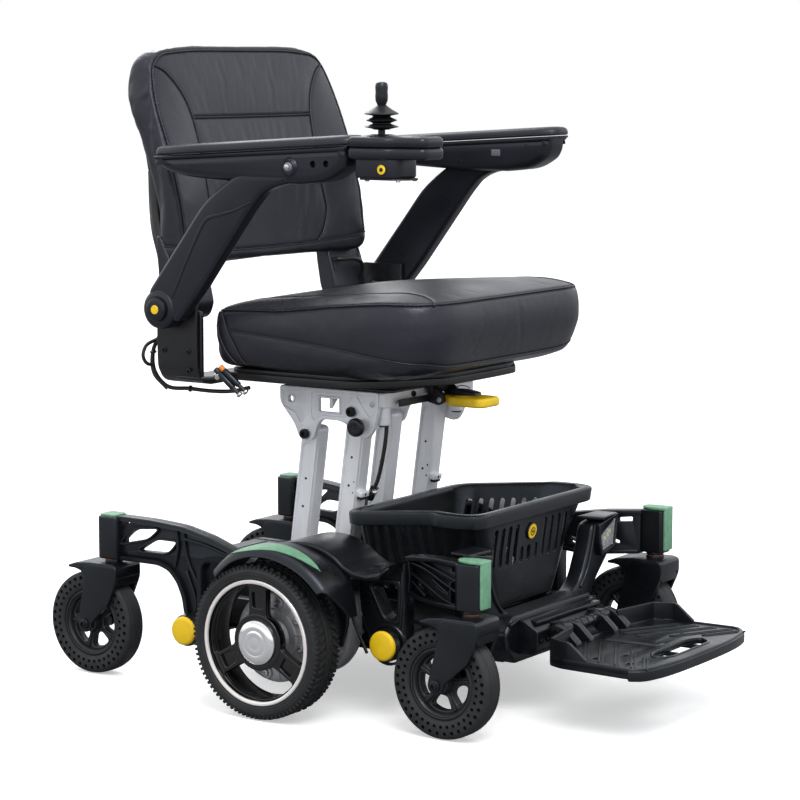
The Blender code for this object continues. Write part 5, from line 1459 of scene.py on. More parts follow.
# ---- base frame and seat frame -------------------------------------------------------
def main_frame():
    """Welded tray with side rails, the cheeks that carry the lift links, and two cross tubes."""
    shells = [block((-0.155, -0.235, 0.0785), (0.155, 0.215, 0.0875), COAT, 0.0012)]
    feet = foot_of(REAR_TOP), foot_of(FRONT_TOP)
    (rear_y, rear_z), (front_y, front_z) = feet
    cheek = [(rear_y + 0.022, 0.083), (rear_y + 0.018, rear_z + 0.012), (front_y + 0.008, front_z + 0.014),
             (front_y - 0.018, front_z + 0.008), (-0.030, 0.083)]
    for sign in (-1, 1):
        low, high = across(sign, 0.1352, 0.1550)
        shells += [block((low, -0.2345, 0.0800), (high, 0.2145, 0.1250), COAT, 0.0020),
                   plate(rounded(cheek, 0.012, 5), *across(sign, 0.1118, 0.1204), COAT, edge=0.0012,
                         holes=[circle(*foot, 0.0066, 20) for foot in feet])]
        for foot in feet:
            shells.append(bolt(sign, 0.1200, 0.1262, foot, 0.0088, STEEL, 28, 0.0012, 0.0036))
        for y in (-0.16, -0.06, 0.10, 0.19):
            shells.append(bolt(sign, 0.1545, 0.1572, (y, 0.1030), 0.0046, ZINC, 20, 0.0006, 0.0022))
    for y, z in (FRONT_TUBE, REAR_TUBE):
        shells.append(pin((-0.2340, y, z), (0.2340, y, z), 0.0172, COAT, 40, 0.001))
    return shells


def battery_box():
    """Closed housing behind the wheels with a seam, a grip and two latches."""
    case = [(0.1240, 0.0885), (0.1240, 0.1250), (0.1600, 0.1580), (0.1780, 0.1695),
            (0.2900, 0.1695), (0.3000, 0.1550), (0.3000, 0.1100), (0.2850, 0.1050),
            (0.2220, 0.1050), (0.1765, 0.1050), (0.1720, 0.0885)]
    loop = rounded(case, 0.006, 4)
    shells = [plate(loop, -0.0720, 0.0720, BODY, edge=0.0040, segs=3)]
    for low, high in ((-0.0560, -0.0530), (0.0530, 0.0560)):
        shells.append(plate(rounded(inset(case, -0.0010), 0.006, 4), low, high, BODY,
                            holes=[inset(loop, 0.004)], edge=0.0006, segs=1))
    shells.append(block((-0.0680, 0.2985, 0.1270), (0.0680, 0.3010, 0.1290), BODY, 0.0006, 1))
    grip = [(-0.0340, 0.1560), (-0.0280, 0.1420), (0.0280, 0.1420), (0.0340, 0.1560)]
    shells.append(plate(rounded(grip, 0.003), 0.2990, 0.3030, BODY, plane="XZ", edge=0.0012,
                        holes=[rounded(inset(grip, 0.003), 0.002)]))
    for x in (-0.050, 0.050):
        shells.append(block((x - 0.006, 0.2990, 0.1160), (x + 0.006, 0.3025, 0.1380), COAT, 0.0010))
    for y in (0.2000, 0.2200, 0.2400, 0.2600):
        shells.append(block((-0.0480, y - 0.0020, 0.1690), (0.0480, y + 0.0020, 0.1703), BODY, 0.0008, 2))
    return shells


def seat_frame():
    """Pressed pan on its riser, bent side straps, and the ears that hold the release handle."""
    pan = [(-0.090, -0.165), (0.090, -0.165), (0.205, -0.075), (0.205, 0.140),
           (-0.205, 0.140), (-0.205, -0.075)]
    shells = [plate(rounded(pan, 0.028, 6), 0.4660, 0.4745, COAT, plane="XY", edge=0.0030, segs=3),
              plate(rounded(inset(pan, 0.0050), 0.026, 6), 0.4625, 0.4665, COAT, plane="XY", edge=0.0014),
              plate(rounded(rectangle(-0.110, 0.110, -0.085, 0.105), 0.008),
                    0.4426, 0.4640, COAT, plane="XY", edge=0.0020),
              plate(rounded(rectangle(-0.1180, 0.1180, -0.0880, 0.1080), 0.010),
                    0.4426, 0.4470, COAT, plane="XY", edge=0.0012)]
    rim = [(-0.2040, 0.1380), (-0.2040, -0.0400), (-0.1900, -0.0860), (-0.1100, -0.1480), (-0.0700, -0.1620),
           (0.0700, -0.1620), (0.1100, -0.1480), (0.1900, -0.0860), (0.2040, -0.0400), (0.2040, 0.1380)]
    shells += [plate(strip(smooth(rim), 0.0060), 0.4565, 0.4680, COAT, plane="XY", edge=0.0022, segs=3),
               plate(rounded(rectangle(-0.150, 0.150, 0.118, 0.162), 0.004), 0.4520, 0.4700, COAT,
                     plane="XY", edge=0.0020)]
    bend = [(-0.2590, 0.5920), (-0.2590, 0.4900), (-0.2540, 0.4690), (-0.2440, 0.4580), (-0.2270, 0.4536)]
    path = smooth(bend, 4)
    shells.append(plate(strip(path + [(-a, b) for a, b in reversed(path)], 0.0060), 0.1500, 0.2220,
                        COAT, plane="XZ", edge=0.0018, segs=3))
    for sign in (-1, 1):
        x = sign * 0.2615
        for y, z in ((0.1640, 0.5000), (0.2080, 0.5000), (0.1640, 0.4720)):
            shells.append(pin((x, y, z), (x + sign * 0.0022, y, z), 0.0040, STEEL, 18, 0.0006, 0.0020))
        for x_foot, y in ((0.165, 0.172), (0.195, 0.172), (0.120, 0.130)):
            shells.append(pin((sign * x_foot, y, 0.4540), (sign * x_foot, y, 0.4472), 0.0046, STEEL,
                              18, 0.0008, 0.0022))
        shells.append(plate(circle(*ARM_PIVOT, 0.0180, 32), *across(sign, 0.2560, 0.2635), COAT, edge=0.001))
        gusset = [(0.1530, 0.4580), (0.1960, 0.4580), (0.1960, 0.5660), (0.1530, 0.5560)]
        shells.append(plate(rounded(gusset, 0.006), *across(sign, 0.2395, 0.2480), COAT, edge=0.0030))
        floor = [(sign * 0.2550, 0.1530), (sign * 0.2350, 0.1300),
                 (sign * 0.2000, 0.1200), (sign * 0.2000, 0.1960), (sign * 0.2550, 0.1960)]
        shells.append(plate(rounded(floor, 0.008), 0.4580, 0.4640, COAT, plane="XY", edge=0.0020))
    shells.append(block((-0.0180, -0.0900, 0.4325), (0.0400, -0.0790, 0.4660), COAT, 0.0012))
    for x in (-0.0120, 0.0320):
        ear = [(-0.0790, 0.4420), (-0.0900, 0.4440), (-0.1060, 0.4320), (-0.1080, 0.4200), (-0.0980, 0.4150),
               (-0.0800, 0.4190)]
        shells += [plate(rounded(ear, 0.003), x - 0.0032, x + 0.0032, COAT, edge=0.0008),
                   pin((x - 0.0045, -0.1000, 0.4235), (x + 0.0045, -0.1000, 0.4235), 0.0040, ZINC, 20)]
    shells.append(block((-0.0900, -0.0830, 0.4200), (-0.0140, -0.0790, 0.4300), COAT, 0.0010))
    return shells


SEAT_LOOM = [(-0.2400, 0.2330, 0.5200), (-0.2450, 0.2430, 0.4950), (-0.2420, 0.2430, 0.4650),
             (-0.2270, 0.2310, 0.4420), (-0.2100, 0.2050, 0.4390), (-0.2030, 0.1700, 0.4370),
             (-0.2000, 0.1350, 0.4390), (-0.1980, 0.1050, 0.4460)]


def loom():
    """Cable under the near corner of the seat, with a tied loop and a plug pair."""
    shells = [tube(SEAT_LOOM, 0.0030, CABLE, 6, per_span=8)]
    loop = [(-0.2420, 0.2380, 0.5120), (-0.2560, 0.2460, 0.5040),
            (-0.2620, 0.2480, 0.4900), (-0.2560, 0.2470, 0.4780), (-0.2440, 0.2440, 0.4740)]
    shells += [tube(loop, 0.0026, CABLE, 5, per_span=6),
               tube([(p[0] + 0.004, p[1] + 0.005, p[2] - 0.004) for p in SEAT_LOOM[:4]], 0.0024,
                    CABLE, 5, per_span=6)]
    for k in (1, 4):
        a, b = Vector(SEAT_LOOM[k]), Vector(SEAT_LOOM[k + 1])
        along = (b - a).normalized()
        shells.append(pin(a, a + along * 0.0030, 0.0048, BODY, 20, 0.0004))
    for top, foot, seal in (((-0.2440, 0.1220, 0.4800), (-0.2350, 0.0820, 0.4440), AMBER),
                            ((-0.2460, 0.1290, 0.4760), (-0.2390, 0.0900, 0.4400), CABLE)):
        top, foot = Vector(top), Vector(foot)
        shells += [tube([foot, top], 0.0030, CABLE, 5, smooth=False),
                   pin(top.lerp(foot, 0.15), top.lerp(foot, 0.72), 0.0044, BODY, 24, 0.0010),
                   pin(top, top.lerp(foot, 0.15), 0.0040, seal, 20),
                   pin(foot.lerp(top, 0.06), foot, 0.0048, SILVER, 24, 0.0008)]
    shells.append(pin((-0.2440, 0.1290, 0.4660), (-0.2490, 0.1220, 0.4650), 0.0046, SILVER, 24, 0.0010))
    return shells


# ---- armrests and joystick -----------------------------------------------------------
ARM_PIVOT = (0.195, 0.561)
BUTTON = (-0.037, 0.767)            # y and z of the push button
PAD_TILT = -0.0615                  # height of the pad's underside gained for each metre to the rear
STICK = (-0.255, -0.164, 0.795)     # the point about which the joystick tilts


def pad_line(y):
    """Height of the arm pad's underside at y."""
    return 0.7900 + PAD_TILT * y


def armrest():
    """Moulded arm with its pivot boss, a creased recess, and the boat-shaped shell under the pad."""
    y, z = ARM_PIVOT
    arm = [(0.2200, 0.5800), (0.1500, 0.6690), (0.1160, 0.7130), (0.0870, 0.7360),
           (0.0560, 0.7560), (0.0100, 0.7660), (-0.0300, 0.7640), (-0.0350, 0.7450),
           (-0.0060, 0.7385), (0.0130, 0.7290), (0.0330, 0.7070), (0.1220, 0.5900), (0.1640, 0.5410)]
    loop = rounded(arm, [0.016, 0.01, 0.020, 0.016, 0.016, 0.010, 0.006, 0.006, 0.016, 0.018, 0.024,
                         0.010, 0.012], 5)
    shells = [plate(loop, 0.2645, 0.2905, SHELL, edge=0.0068, segs=5),
              lathe([(0.0, 0.2645), (0.0240, 0.2645), (0.0272, 0.2660),
                     (0.0285, 0.2690), (0.0285, 0.2860), (0.0272, 0.2900),
                     (0.0235, 0.2925), (0.0185, 0.2930), (0.0, 0.2930)], (0, y, z), SHELL,
                    steps=56, closed=False),
              lathe([(0.0172, 0.2925), (0.0186, 0.2925), (0.0186, 0.2940),
                     (0.0172, 0.2940)], (0, y, z), BODY, steps=48),
              lathe([(0.0, 0.2996), (0.0120, 0.2994), (0.0152, 0.2988),
                     (0.0166, 0.2976), (0.0170, 0.2955), (0.0170, 0.2925), (0.0, 0.2925)],
                    (0, y, z), BODY, steps=48, closed=False),
              lathe([(0.0, 0.3004), (0.0060, 0.3003), (0.0066, 0.2994), (0.0, 0.2990)],
                    (0, y, z), YELLOW, steps=32, closed=False)]
    crease = [(0.1700, 0.5780), (0.1420, 0.6350), (0.1160, 0.6810), (0.1040, 0.6930),
              (0.0830, 0.6985), (0.0560, 0.7060), (0.0300, 0.7170)]
    spine = smooth(crease, 6)
    widths = [0.0018 + 0.0038 * math.sin(math.pi * k / (len(spine) - 1)) for k in range(len(spine))]
    shells += [plate(strip(spine, widths), 0.2880, 0.2917, SHELL, edge=0.0012, segs=3),
               pin((0.2660, 0.1560, 0.6120), (0.2642, 0.1560, 0.6120), 0.0042, BODY, 20, 0.0004, 0.0030)]
    keel = [(0.2040, pad_line(0.2040) - 0.0006), (0.2000, 0.7680), (0.1800, 0.7560),
            (0.1450, 0.7490), (0.0900, 0.7460), (0.0300, 0.7430), (-0.0500, 0.7430),
            (-0.0950, 0.7480), (-0.1220, 0.7640), (-0.1290, 0.7780),
            (-0.1300, pad_line(-0.1300) - 0.0006)]
    hull = rounded(keel, [0.004, 0.012, 0.020, 0.020, 0.0, 0.0, 0.0, 0.020, 0.016, 0.006, 0.002], 5)
    bores = [pin((0.2820, hole_y, hole_z), (0.2960, hole_y, hole_z), 0.0048, SHELL, 28)
             for hole_y, hole_z in ((-0.0760, 0.7715), (-0.0975, 0.7725))]
    shells.append(carve(plate(hull, 0.2405, 0.2910, SHELL, edge=0.0125, segs=7), *bores))
    rim = [(0.2030, pad_line(0.2030) - 0.0004), (0.1990, 0.7720), (-0.1290, 0.7900),
           (-0.1330, pad_line(-0.1330) - 0.0004)]
    shells += [plate(rounded(rim, [0.001, 0.008, 0.006, 0.001], 4), 0.2395, 0.2925, SHELL,
                     edge=0.0030, segs=4),
               lathe([(0.0076, 0.0), (0.0128, 0.0), (0.0134, 0.0010), (0.0126, 0.0026), (0.0106, 0.0036),
                      (0.0092, 0.0050), (0.0078, 0.0048)], (0.2898, *BUTTON), SHELL, steps=48)]
    for hole_y, hole_z in ((0.1000, 0.7700), (0.0300, 0.7560), (-0.0900, 0.7820)):
        shells.append(pin((0.2425, hole_y, hole_z), (0.2400, hole_y, hole_z), 0.0036, RUBBER, 20,
                          0.0004, 0.0028))
    shells.append(block((0.2396, -0.0430, 0.7660), (0.2425, -0.0270, 0.7760), GREY, 0.0010))
    return shells


def push_button():
    """Grey button cap with a bright centre."""
    cap = [(0.0, 0.2975), (0.0046, 0.2973), (0.0060, 0.2966), (0.0068, 0.2950),
           (0.0070, 0.2940), (0.0070, 0.2830), (0.0, 0.2830)]
    return [lathe(cap, (0, *BUTTON), GREY, steps=36, closed=False),
            pin((0.2950, *BUTTON), (0.2984, *BUTTON), 0.0046, SILVER, 6, 0.0008)]


def pad_outline(grow=0.0):
    """Plan of the arm pad, grown outwards by grow."""
    half = 0.0295 + grow
    middle = 0.2675
    rear, front = 0.2070 + grow, -0.1390 - grow
    points = [(middle - half * 0.55, rear), (middle + half * 0.55, rear), (middle + half, rear - 0.050),
              (middle + half, front + 0.022), (middle + half * 0.62, front), (middle - half * 0.62, front),
              (middle - half, front + 0.022), (middle - half, rear - 0.050)]
    return rounded(points, [0.014, 0.014, 0.030, 0.014, 0.012, 0.012, 0.014, 0.030], 6)


def arm_pad():
    """Thin foam pad: a crowned top over a rolled edge, tilted up towards the front."""
    rings = []
    for inwards, height in ((0.0020, 0.0004), (0.0004, 0.0014), (0.0, 0.0040),
                            (0.0004, 0.0075), (0.0022, 0.0106), (0.0060, 0.0127),
                            (0.0120, 0.0136), (0.0200, 0.0140), (0.0270, 0.0141)):
        rings.append([(x, y, pad_line(y) + height) for x, y in pad_outline(-inwards)])
    skin_piece = loft(rings, PAD_SKIN)
    bead = [(x, y, pad_line(y) + 0.0030) for x, y in pad_outline(-0.0003)]
    welt = tube(bead + [bead[0]], 0.0009, SHELL, 3, smooth=False)
    return [skin_piece, welt]


def controller():
    """T-shaped joystick pod: a rounded upper shell, a narrower lower one, and the bracket to the arm."""
    x, y, _ = STICK
    top = [(x - 0.040, y + 0.030), (x - 0.042, y - 0.024), (x - 0.030, y - 0.044), (x - 0.0260, y - 0.086),
           (x + 0.0260, y - 0.086), (x + 0.030, y - 0.044), (x + 0.042, y - 0.024), (x + 0.040, y + 0.030)]
    sizes = [0.008, 0.012, 0.010, 0.012, 0.012, 0.010, 0.012, 0.008]
    top, well = rounded(top, sizes, 6), circle(x, y, 0.0162, 40)
    shells = [plate(top, 0.7950, 0.8100, SHELL, plane="XY", holes=[well], edge=0.0060, segs=5),
              plate(top, 0.7800, 0.7955, SHELL, plane="XY", holes=[well], edge=0.0052, segs=5)]
    base = [(x - 0.030, y + 0.024), (x - 0.031, y - 0.034), (x - 0.018, y - 0.044), (x + 0.018, y - 0.044),
            (x + 0.031, y - 0.034), (x + 0.030, y + 0.024)]
    shells.append(plate(rounded(base, [0.005, 0.008, 0.006, 0.006, 0.008, 0.005], 5), 0.7545,
                        0.7830, SHELL, plane="XY", holes=[circle(x, y, 0.0160, 32)], edge=0.0036, segs=4))
    under = [(x - 0.027, y + 0.019), (x - 0.028, y - 0.034), (x - 0.012, y - 0.052), (x + 0.012, y - 0.052),
             (x + 0.028, y - 0.034), (x + 0.027, y + 0.019)]
    shells.append(plate(rounded(under, 0.004), 0.7520, 0.7546, COAT, plane="XY", edge=0.0006))
    for dx, dy in ((-0.020, -0.040), (0.020, -0.040), (-0.020, 0.010), (0.020, 0.010)):
        shells.append(pin((x + dx, y + dy, 0.7525), (x + dx, y + dy, 0.7498), 0.0032, ZINC, 16,
                          0.0005, 0.0016))
    shells.append(lathe([(0.0150, 0.8080), (0.0288, 0.8080), (0.0288, 0.8096),
                         (0.0276, 0.8106), (0.0220, 0.8108), (0.0190, 0.8114),
                         (0.0150, 0.8122)], (x, y, 0), SHELL, axis="Z", steps=48))
    for k in range(4):
        key_x, key_y = x - 0.012 + 0.008 * k, y - 0.0590
        shells.append(pin((key_x, key_y, 0.8090), (key_x, key_y, 0.8108), 0.0026, GREY, 18, 0.0005))
    shells.append(block((x - 0.012, y - 0.0760, 0.8092), (x + 0.012, y - 0.0680, 0.8106), RUBBER, 0.0008))
    bracket = [(y + 0.018, 0.7560), (y + 0.018, 0.7800), (-0.1310, 0.7830),
               (-0.1310, 0.7700), (-0.1310, 0.7560)]
    shells += [plate(rounded(bracket, 0.002), x - 0.015, x + 0.015, COAT, edge=0.0012),
               block((x - 0.017, -0.1420, 0.7580), (x - 0.013, -0.1345, 0.7880), COAT, 0.0010)]
    emblem = (x - 0.0308, y - 0.0210, 0.7665)
    for radius, lift, mat in ((0.0078, 0.0010, BODY), (0.0064, 0.0015, YELLOW), (0.0028, 0.0019, BODY)):
        shells.append(pin(emblem, (emblem[0] - lift, *emblem[1:]), radius, mat, 32, 0.0003))
    return shells


def joystick():
    """Waisted knob over a three-fold rubber boot, drawn about its tilting centre."""
    half = [(0.0, 0.0872), (0.0040, 0.0870), (0.0070, 0.0858), (0.0082, 0.0836),
            (0.0086, 0.0800), (0.0082, 0.0730), (0.0086, 0.0680), (0.0082, 0.0620),
            (0.0064, 0.0580), (0.0056, 0.0560)]
    boot = [(0.0060, 0.0566), (0.0090, 0.0540), (0.0140, 0.0505), (0.0195, 0.0475),
            (0.0228, 0.0454), (0.0230, 0.0442), (0.0205, 0.0436), (0.0135, 0.0424),
            (0.0118, 0.0412), (0.0132, 0.0398), (0.0190, 0.0376), (0.0208, 0.0364),
            (0.0204, 0.0354), (0.0150, 0.0336), (0.0122, 0.0322), (0.0122, 0.0316),
            (0.0150, 0.0306), (0.0216, 0.0284), (0.0230, 0.0276), (0.0224, 0.0268),
            (0.0165, 0.0256), (0.0120, 0.0244), (0.0104, 0.0236), (0.0048, 0.0232),
            (0.0048, -0.0100), (0.0, -0.0100)]
    shells = [lathe(half + [(0.0, 0.0570)], STICK, BODY, axis="Z", steps=48, closed=False),
              lathe([(0.0, 0.0575)] + boot, STICK, RUBBER, axis="Z", steps=56, closed=False)]
    return shells


def gimbal():
    """Small ring with its four trunnions."""
    ring = [(0.0120, 0.0035), (0.0124, 0.0), (0.0120, -0.0035), (0.0085, -0.0035), (0.0085, 0.0035)]
    shells = [lathe(ring, STICK, ZINC, axis="Z", steps=36)]
    for dx, dy in ((0.0130, 0), (-0.0130, 0), (0, 0.0075), (0, -0.0075)):
        reach = Vector((dx, dy, 0)).normalized() * 0.0012
        spot = Vector((STICK[0] + dx, STICK[1] + dy, STICK[2]))
        shells.append(pin(spot - reach, spot + reach, 0.0016, ZINC, 12, 0.0002))
    return shells


def seat_metal_group():
    merge("welded_base_frame", main_frame(), "chassis", ["main_frame"], "frame_coat")
    merge("seamed_battery_box", battery_box(), "chassis", ["battery_box"], "body_plastic")
    merge("pressed_seat_frame", seat_frame(), "seat", ["seat_frame"], "frame_coat")
    merge("tied_seat_loom", loom(), "seat", ["seat_loom"], "cable_sheath")
    both_sides("moulded_armrest", armrest(), "arm_{}", ["armrest_{}"], "body_plastic")
    both_sides("push_button_cap", push_button(), "button_{}", ["arm_button_{}"], "grey_plastic")
    for pad in both_sides("rolled_arm_pad", arm_pad(), "arm_{}", ["arm_pad_{}"], "pad_vinyl"):
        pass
    merge("joystick_pod", controller(), "arm_r", ["controller"], "body_plastic")
    merge("knob_and_boot", joystick(), "stick", ["joystick_knob"], "body_plastic")
    merge("gimbal_ring", gimbal(), "gimbal", ["joystick_gimbal"], "frame_coat")


# ---- upholstery ----------------------------------------------------------------------
SEAT_MID, SEAT_REACH = -0.0400, 0.1880
SEAT_SEAM = [(-0.230, 0.5820), (-0.140, 0.5815), (-0.060, 0.5740), (0.030, 0.5630),
             (0.125, 0.5600), (0.150, 0.5580)]
SEAT_CROWN = [(-0.230, 0.5900), (-0.150, 0.5930), (-0.050, 0.5850), (0.060, 0.5760), (0.150, 0.5700)]
SEAT_BASE = [(-0.230, 0.4860), (-0.205, 0.4790), (-0.180, 0.4768), (0.150, 0.4765)]


def dense(loop, step=0.012):
    """The closed loop with points added on its long sides."""
    out = []
    for a, b in zip(loop, loop[1:] + loop[:1]):
        count = max(1, int((Vector(b) - Vector(a)).length / step))
        out += [(a[0] + (b[0] - a[0]) * k / count, a[1] + (b[1] - a[1]) * k / count) for k in range(count)]
    return out


def seat_ring(inwards, height):
    """Plan outline drawn in by inwards; height runs 0 at the base, 1 at the top seam, 2 at the crown."""
    plan = [(-0.229, 0.149), (-0.229, -0.219), (0.229, -0.219), (0.229, 0.149)]
    ring = []
    for x, y in dense(rounded(plan, [0.026, 0.085, 0.085, 0.026], 10)):
        x, y = x * (1 - inwards / 0.232), SEAT_MID + (y - SEAT_MID) * (1 - inwards / SEAT_REACH)
        tuck = max(0.0, 0.45 - height) * 0.038 if y < -0.15 else 0.0
        y = y + tuck * min(1.0, (-0.15 - y) / 0.05)
        base, seam, crown = (read(table, y) for table in (SEAT_BASE, SEAT_SEAM, SEAT_CROWN))
        z = base + (seam - base) * height if height <= 1 else seam + (crown - seam) * (height - 1)
        ring.append((x, y, z))
    return ring


def seat_form():
    """Seat cushion before it is plumped."""
    steps = [(0.060, 0.0), (0.020, 0.0), (0.008, 0.03), (0.003, 0.10), (0.0, 0.25),
             (-0.002, 0.5), (-0.002, 0.75), (0.0005, 0.93), (0.004, 1.0), (0.012, 1.35),
             (0.030, 1.75), (0.060, 1.95), (0.110, 2.0)]
    return loft([seat_ring(*step) for step in steps], VINYL)


def seat_seams():
    """Seams of the seat cushion, each as (points, number of stitch rows, groove depth)."""
    top = seat_ring(0.0030, 1.0)
    lower = [(-0.234, 0.114, 0.530), (-0.234, 0.031, 0.524),
             (-0.234, -0.057, 0.516), (-0.233, -0.117, 0.508),
             (-0.226, -0.170, 0.501), (-0.200, -0.207, 0.491),
             (-0.160, -0.214, 0.486), (-0.090, -0.215, 0.484), (0.0, -0.215, 0.484)]
    lower += [(-x, y, z) for x, y, z in reversed(lower[:-1])]
    found = [(top + top[:1], 2, 0.0016), (soften(lower, 8), 1, 0.0010)]
    for sign in (-1, 1):
        corner = [(sign * 0.233, 0.134, 0.561), (sign * 0.234, 0.114, 0.520), (sign * 0.230, 0.092, 0.480)]
        found.append((soften(corner, 8), 0, 0.0014))
        corner = [(sign * 0.226, 0.146, 0.561), (sign * 0.232, 0.132, 0.516), (sign * 0.230, 0.108, 0.479)]
        found.append((soften(corner, 8), 0, 0.0012))
        inner = [(sign * 0.196, -0.216, 0.586), (sign * 0.178, -0.190, 0.592), (sign * 0.166, -0.150, 0.596),
                 (sign * 0.160, -0.050, 0.590), (sign * 0.160, 0.060, 0.578), (sign * 0.164, 0.140, 0.566)]
        found.append((soften(inner, 10), 0, 0.0022))
    return found


BACK_SLOPE = 0.1908     # how far the back leans to the rear for each metre of height
BACK_REAR = [(0.612, 0.2440), (0.695, 0.2540), (0.737, 0.2650), (0.785, 0.2810),
             (0.827, 0.2960), (0.864, 0.3060), (0.905, 0.3080), (0.940, 0.3040)]


def back_front(z):
    """y of the back cushion's front face at height z."""
    return 0.2150 + BACK_SLOPE * (z - 0.628)


BACK_WING = [(0.612, 0.0200), (0.640, 0.0240), (0.708, 0.0280), (0.794, 0.0200),
             (0.841, 0.0100), (0.900, 0.0)]


def back_ring(inwards, through, swell=0.0):
    """Rounded back outline drawn in by inwards, at a share through the thickness, swollen forward."""
    shape = [(-0.2330, 0.616), (-0.2345, 0.700), (-0.2345, 0.860), (-0.215, 0.928),
             (-0.130, 0.936), (0.130, 0.936), (0.215, 0.928), (0.2345, 0.860),
             (0.2345, 0.700), (0.2330, 0.616)]
    sizes = [0.020, 0.080, 0.070, 0.060, 0.080]
    ring = []
    for x, z in dense(rounded(shape, sizes + sizes[::-1], 8)):
        x, z = x * (1 - inwards / 0.240), 0.775 + (z - 0.775) * (1 - inwards / 0.163)
        front = back_front(z) - read(BACK_WING, z) * (abs(x) / 0.232) ** 2.5
        ring.append((x, front + (read(BACK_REAR, z) - front) * through - swell, z))
    return ring


def back_form():
    """Back cushion before it is plumped."""
    steps = [(0.120, 0.0, 0.0050), (0.070, 0.0, 0.0048), (0.035, 0.0, 0.0035),
             (0.016, 0.0, 0.0015), (0.006, 0.04, 0.0), (0.001, 0.16, 0.0),
             (-0.001, 0.40, 0.0), (-0.001, 0.65, 0.0), (0.002, 0.86, 0.0),
             (0.010, 0.97, 0.0), (0.024, 1.0, 0.0), (0.080, 1.0, 0.0)]
    return loft([back_ring(*step) for step in steps], VINYL)


def back_seams():
    """Seams of the back cushion, in the same form."""
    edge = [p for p in back_ring(0.0110, 0.02) if p[2] > 0.640]
    turn = next(k for k in range(len(edge)) if (Vector(edge[k]) - Vector(edge[k - 1])).length > 0.1)
    edge = edge[turn:] + edge[:turn]
    found = [(edge, 2, 0.0015)]
    for sign in (-1, 1):
        inner = [(sign * 0.208, 0.2580, 0.9080),
                 (sign * 0.186, 0.2560, 0.8960),
                 (sign * 0.163, 0.2520, 0.8700),
                 (sign * 0.149, 0.2460, 0.8400),
                 (sign * 0.143, 0.2380, 0.8000),
                 (sign * 0.143, 0.2240, 0.7200),
                 (sign * 0.145, 0.2160, 0.6800),
                 (sign * 0.132, 0.2110, 0.6500), (sign * 0.118, 0.2080, 0.6350)]
        found.append((soften(inner, 8), 0, 0.0020))
    found.append(([(-0.146 + 0.0146 * k, 0.2450, 0.8280) for k in range(21)], 1, 0.0026))
    hem = [(-0.2350, 0.2480, 0.6450), (-0.2350, 0.2150, 0.6450),
           (-0.2250, 0.1960, 0.6430), (-0.1600, 0.2020, 0.6360), (0.0, 0.2110, 0.6310)]
    hem += [(-x, y, z) for x, y, z in reversed(hem[:-1])]
    found.append((soften(hem, 8), 0, 0.0016))
    return found


def sampled(points, step=0.0020):
    """Points a step apart along a route."""
    out = []
    for a, b in zip(points, points[1:]):
        a, b = Vector(a), Vector(b)
        count = max(1, int((b - a).length / step))
        out += [a.lerp(b, k / count) for k in range(count)]
    return out + [Vector(points[-1])]


def tree_of(points):
    tree = KDTree(len(points))
    for k, point in enumerate(points):
        tree.insert(point, k)
    tree.balance()
    return tree


def surface_tree(obj):
    return BVHTree.FromPolygons([v.co for v in obj.data.vertices], [p.vertices[:] for p in obj.data.polygons])


def on_surface(seams, obj):
    """Seam lines laid on the surface of obj."""
    skin_tree = surface_tree(obj)
    return [([skin_tree.find_nearest(p)[0] for p in sampled(points)], rows, depth) for points, rows,
            depth in seams]


def remeshed(form, voxel):
    """The form with even faces, softened a little."""
    modify(form, "REMESH", mode="VOXEL", voxel_size=voxel)
    modify(form, "SMOOTH", factor=0.5, iterations=6)
    bpy.context.view_layer.update()
    data = mesh_of(form)
    drop(form)
    return temp(data, VINYL)


VINYL_CLOTH = {"quality": 5, "mass": 0.25, "tension_stiffness": 18, "compression_stiffness": 18,
               "shear_stiffness": 8, "bending_stiffness": 0.6, "use_pressure": True,
               "uniform_pressure_force": 4, "shrink_min": -0.001, "vertex_group_mass": "held"}


def plump(jobs, frames=20):
    """Inflates covers held along their seams, all in one cloth run, and caps how far each point goes."""
    scene = bpy.context.scene
    scene.frame_start, scene.frame_end = 1, frames
    for obj, seams, cap in jobs:
        tree = tree_of([p for points, *_ in seams for p in points])
        held = obj.vertex_groups.new(name="held")
        for vert in obj.data.vertices:
            away = tree.find(vert.co)[2]
            if away < 0.007:
                held.add([vert.index], 1.0 if away < 0.004 else 0.5, "REPLACE")
        cloth = obj.modifiers.new("cover", "CLOTH")
        for name, value in VINYL_CLOTH.items():
            setattr(cloth.settings, name, value)
        cloth.settings.effector_weights.gravity = 0
        cloth.collision_settings.use_collision = False
        cloth.point_cache.frame_start, cloth.point_cache.frame_end = 1, frames
    for moment in range(1, frames + 1):
        scene.frame_set(moment)
    covers = []
    for obj, seams, cap in jobs:
        before = [v.co.copy() for v in obj.data.vertices]
        data = mesh_of(obj)
        for vert, start in zip(data.vertices, before):
            went = vert.co - start
            if went.length > cap:
                vert.co = start + went.normalized() * cap
        covers.append(temp(data, None))
    scene.frame_set(1)
    drop(*[job[0] for job in jobs])
    return covers


GROOVE_REACH = 0.0024


def grooved(cover, seams):
    """One subdivision, then a narrow valley pressed in along each seam."""
    modify(cover, "SUBSURF", levels=1, render_levels=1)
    bpy.context.view_layer.update()
    data = mesh_of(cover)
    drop(cover)
    trees = [(tree_of(points), depth) for points, _, depth in seams]
    moves = []
    for vert in data.vertices:
        push = max(depth * math.exp(-(tree.find(vert.co)[2] / GROOVE_REACH) ** 2) for tree, depth in trees)
        moves.append(vert.co - vert.normal * push)
    for vert, place in zip(data.vertices, moves):
        vert.co = place
    return temp(data, None)


STITCH, STITCH_STEP = (0.0018, 0.00080, 0.00055, 1), 0.0044     # half-sizes of one stitch, and their spacing


